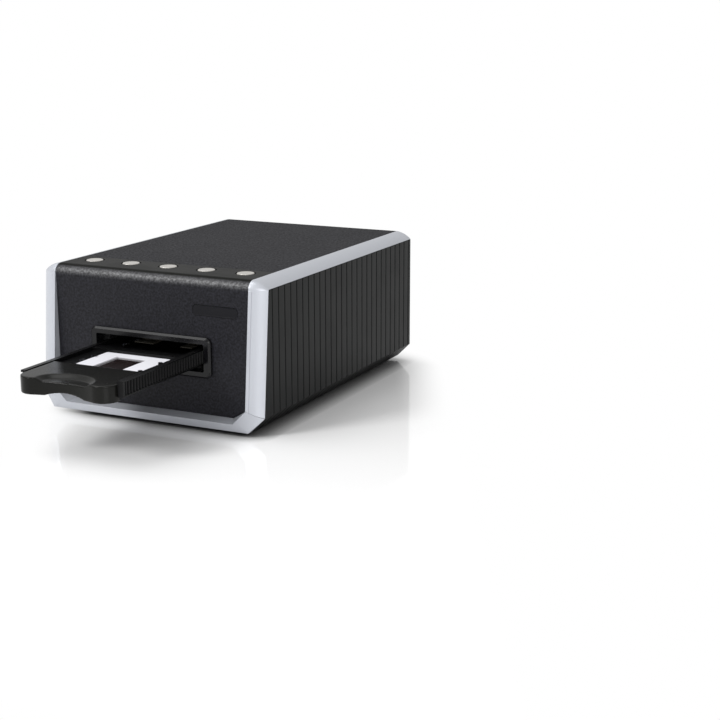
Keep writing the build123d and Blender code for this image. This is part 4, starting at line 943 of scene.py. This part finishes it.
def studio_world(scene):
    """Even light from all round, and plain white where the camera sees past the floor."""
    world = bpy.data.worlds.new("studio_world")
    scene.world = world
    world.use_nodes = True
    tree = world.node_tree
    tree.nodes.clear()
    backgrounds = []
    for strength in (AMBIENT_STRENGTH, 1.0):
        background = tree.nodes.new("ShaderNodeBackground")
        background.inputs["Color"].default_value = (*WHITE, 1.0)
        background.inputs["Strength"].default_value = strength
        backgrounds.append(background.outputs["Background"])
    shown = tree.nodes.new("ShaderNodeLightPath").outputs["Is Camera Ray"]
    output = tree.nodes.new("ShaderNodeOutputWorld")
    tree.links.new(mixed_shaders(tree, shown, *backgrounds), output.inputs["Surface"])


def front_camera(scene):
    """Camera to the right of the front and a little above."""
    turn, tilt, roll = radians(VIEW_AZIMUTH), radians(VIEW_ELEVATION), radians(VIEW_ROLL)
    back = Vector((sin(turn) * cos(tilt), -cos(turn) * cos(tilt), sin(tilt)))
    level_right = Vector((0, 0, 1)).cross(back).normalized()
    level_up = back.cross(level_right)
    right = level_right * cos(roll) + level_up * sin(roll)
    up = level_up * cos(roll) - level_right * sin(roll)
    place = back * VIEW_OFFSET[2] - right * VIEW_OFFSET[0] - up * VIEW_OFFSET[1]
    lens = bpy.data.cameras.new("scanner_camera")
    lens.sensor_width = SENSOR_WIDTH
    lens.lens = VIEW_FOCAL * SENSOR_WIDTH / VIEW_SIDE
    camera = bpy.data.objects.new("scanner_camera", lens)
    scene.collection.objects.link(camera)
    rotation = Matrix((right, up, back)).transposed().to_4x4()
    camera.matrix_world = Matrix.Translation(place) @ rotation
    scene.camera = camera


class SCANNER_OT_stage(Operator):
    """Sets the floor, the soft light, the white background and the camera"""

    bl_idname = "scanner.stage"
    bl_label = "Floor, light and camera"

    def execute(self, context):
        context.scene.view_settings.view_transform = "Standard"
        studio_floor(context.scene)
        studio_world(context.scene)
        soft_light("key_softbox", (-0.67, -1.05, 1.0), 0.4, 11.0)
        soft_light("right_softbox", (0.9, -1.1, 0.5), 0.7, 5.5)
        soft_light("top_softbox", (-0.5, -0.2, 1.2), 0.9, 6.0)
        front_camera(context.scene)
        return {"FINISHED"}


class SCANNER_PT_build(Panel):
    """Lists the scanner's pieces"""

    bl_idname = "SCANNER_PT_build"
    bl_label = "Film negative scanner"
    bl_space_type = "VIEW_3D"
    bl_region_type = "UI"
    bl_category = "Scanner"

    def draw(self, context):
        layout = self.layout
        for step in BUILD_STEPS:
            layout.operator(step.bl_idname)
        for group in (context.scene.scanner_colours, context.scene.scanner_sizes):
            column = layout.column()
            for label in group.__annotations__:
                column.prop(group, label)


BUILD_STEPS = (
    SCANNER_OT_silver_frame,
    SCANNER_OT_side_panels,
    SCANNER_OT_top_cover,
    SCANNER_OT_front,
    SCANNER_OT_buttons,
    SCANNER_OT_film_holder,
    SCANNER_OT_screws,
    SCANNER_OT_inner_parts,
    SCANNER_OT_stage,
)
CLASSES = (ScannerColours, ScannerSizes, *BUILD_STEPS, SCANNER_PT_build)


def register():
    for item in CLASSES:
        bpy.utils.register_class(item)
    bpy.types.Scene.scanner_colours = PointerProperty(type=ScannerColours)
    bpy.types.Scene.scanner_sizes = PointerProperty(type=ScannerSizes)


def unregister():
    del bpy.types.Scene.scanner_sizes
    del bpy.types.Scene.scanner_colours
    for item in reversed(CLASSES):
        bpy.utils.unregister_class(item)


def main():
    register()
    bpy.ops.scanner.silver_frame()
    bpy.ops.scanner.side_panels()
    bpy.ops.scanner.top_cover()
    bpy.ops.scanner.front()
    bpy.ops.scanner.buttons()
    bpy.ops.scanner.film_holder()
    bpy.ops.scanner.screws()
    bpy.ops.scanner.inner_parts()
    bpy.ops.scanner.stage()


if __name__ == "__main__":
    main()
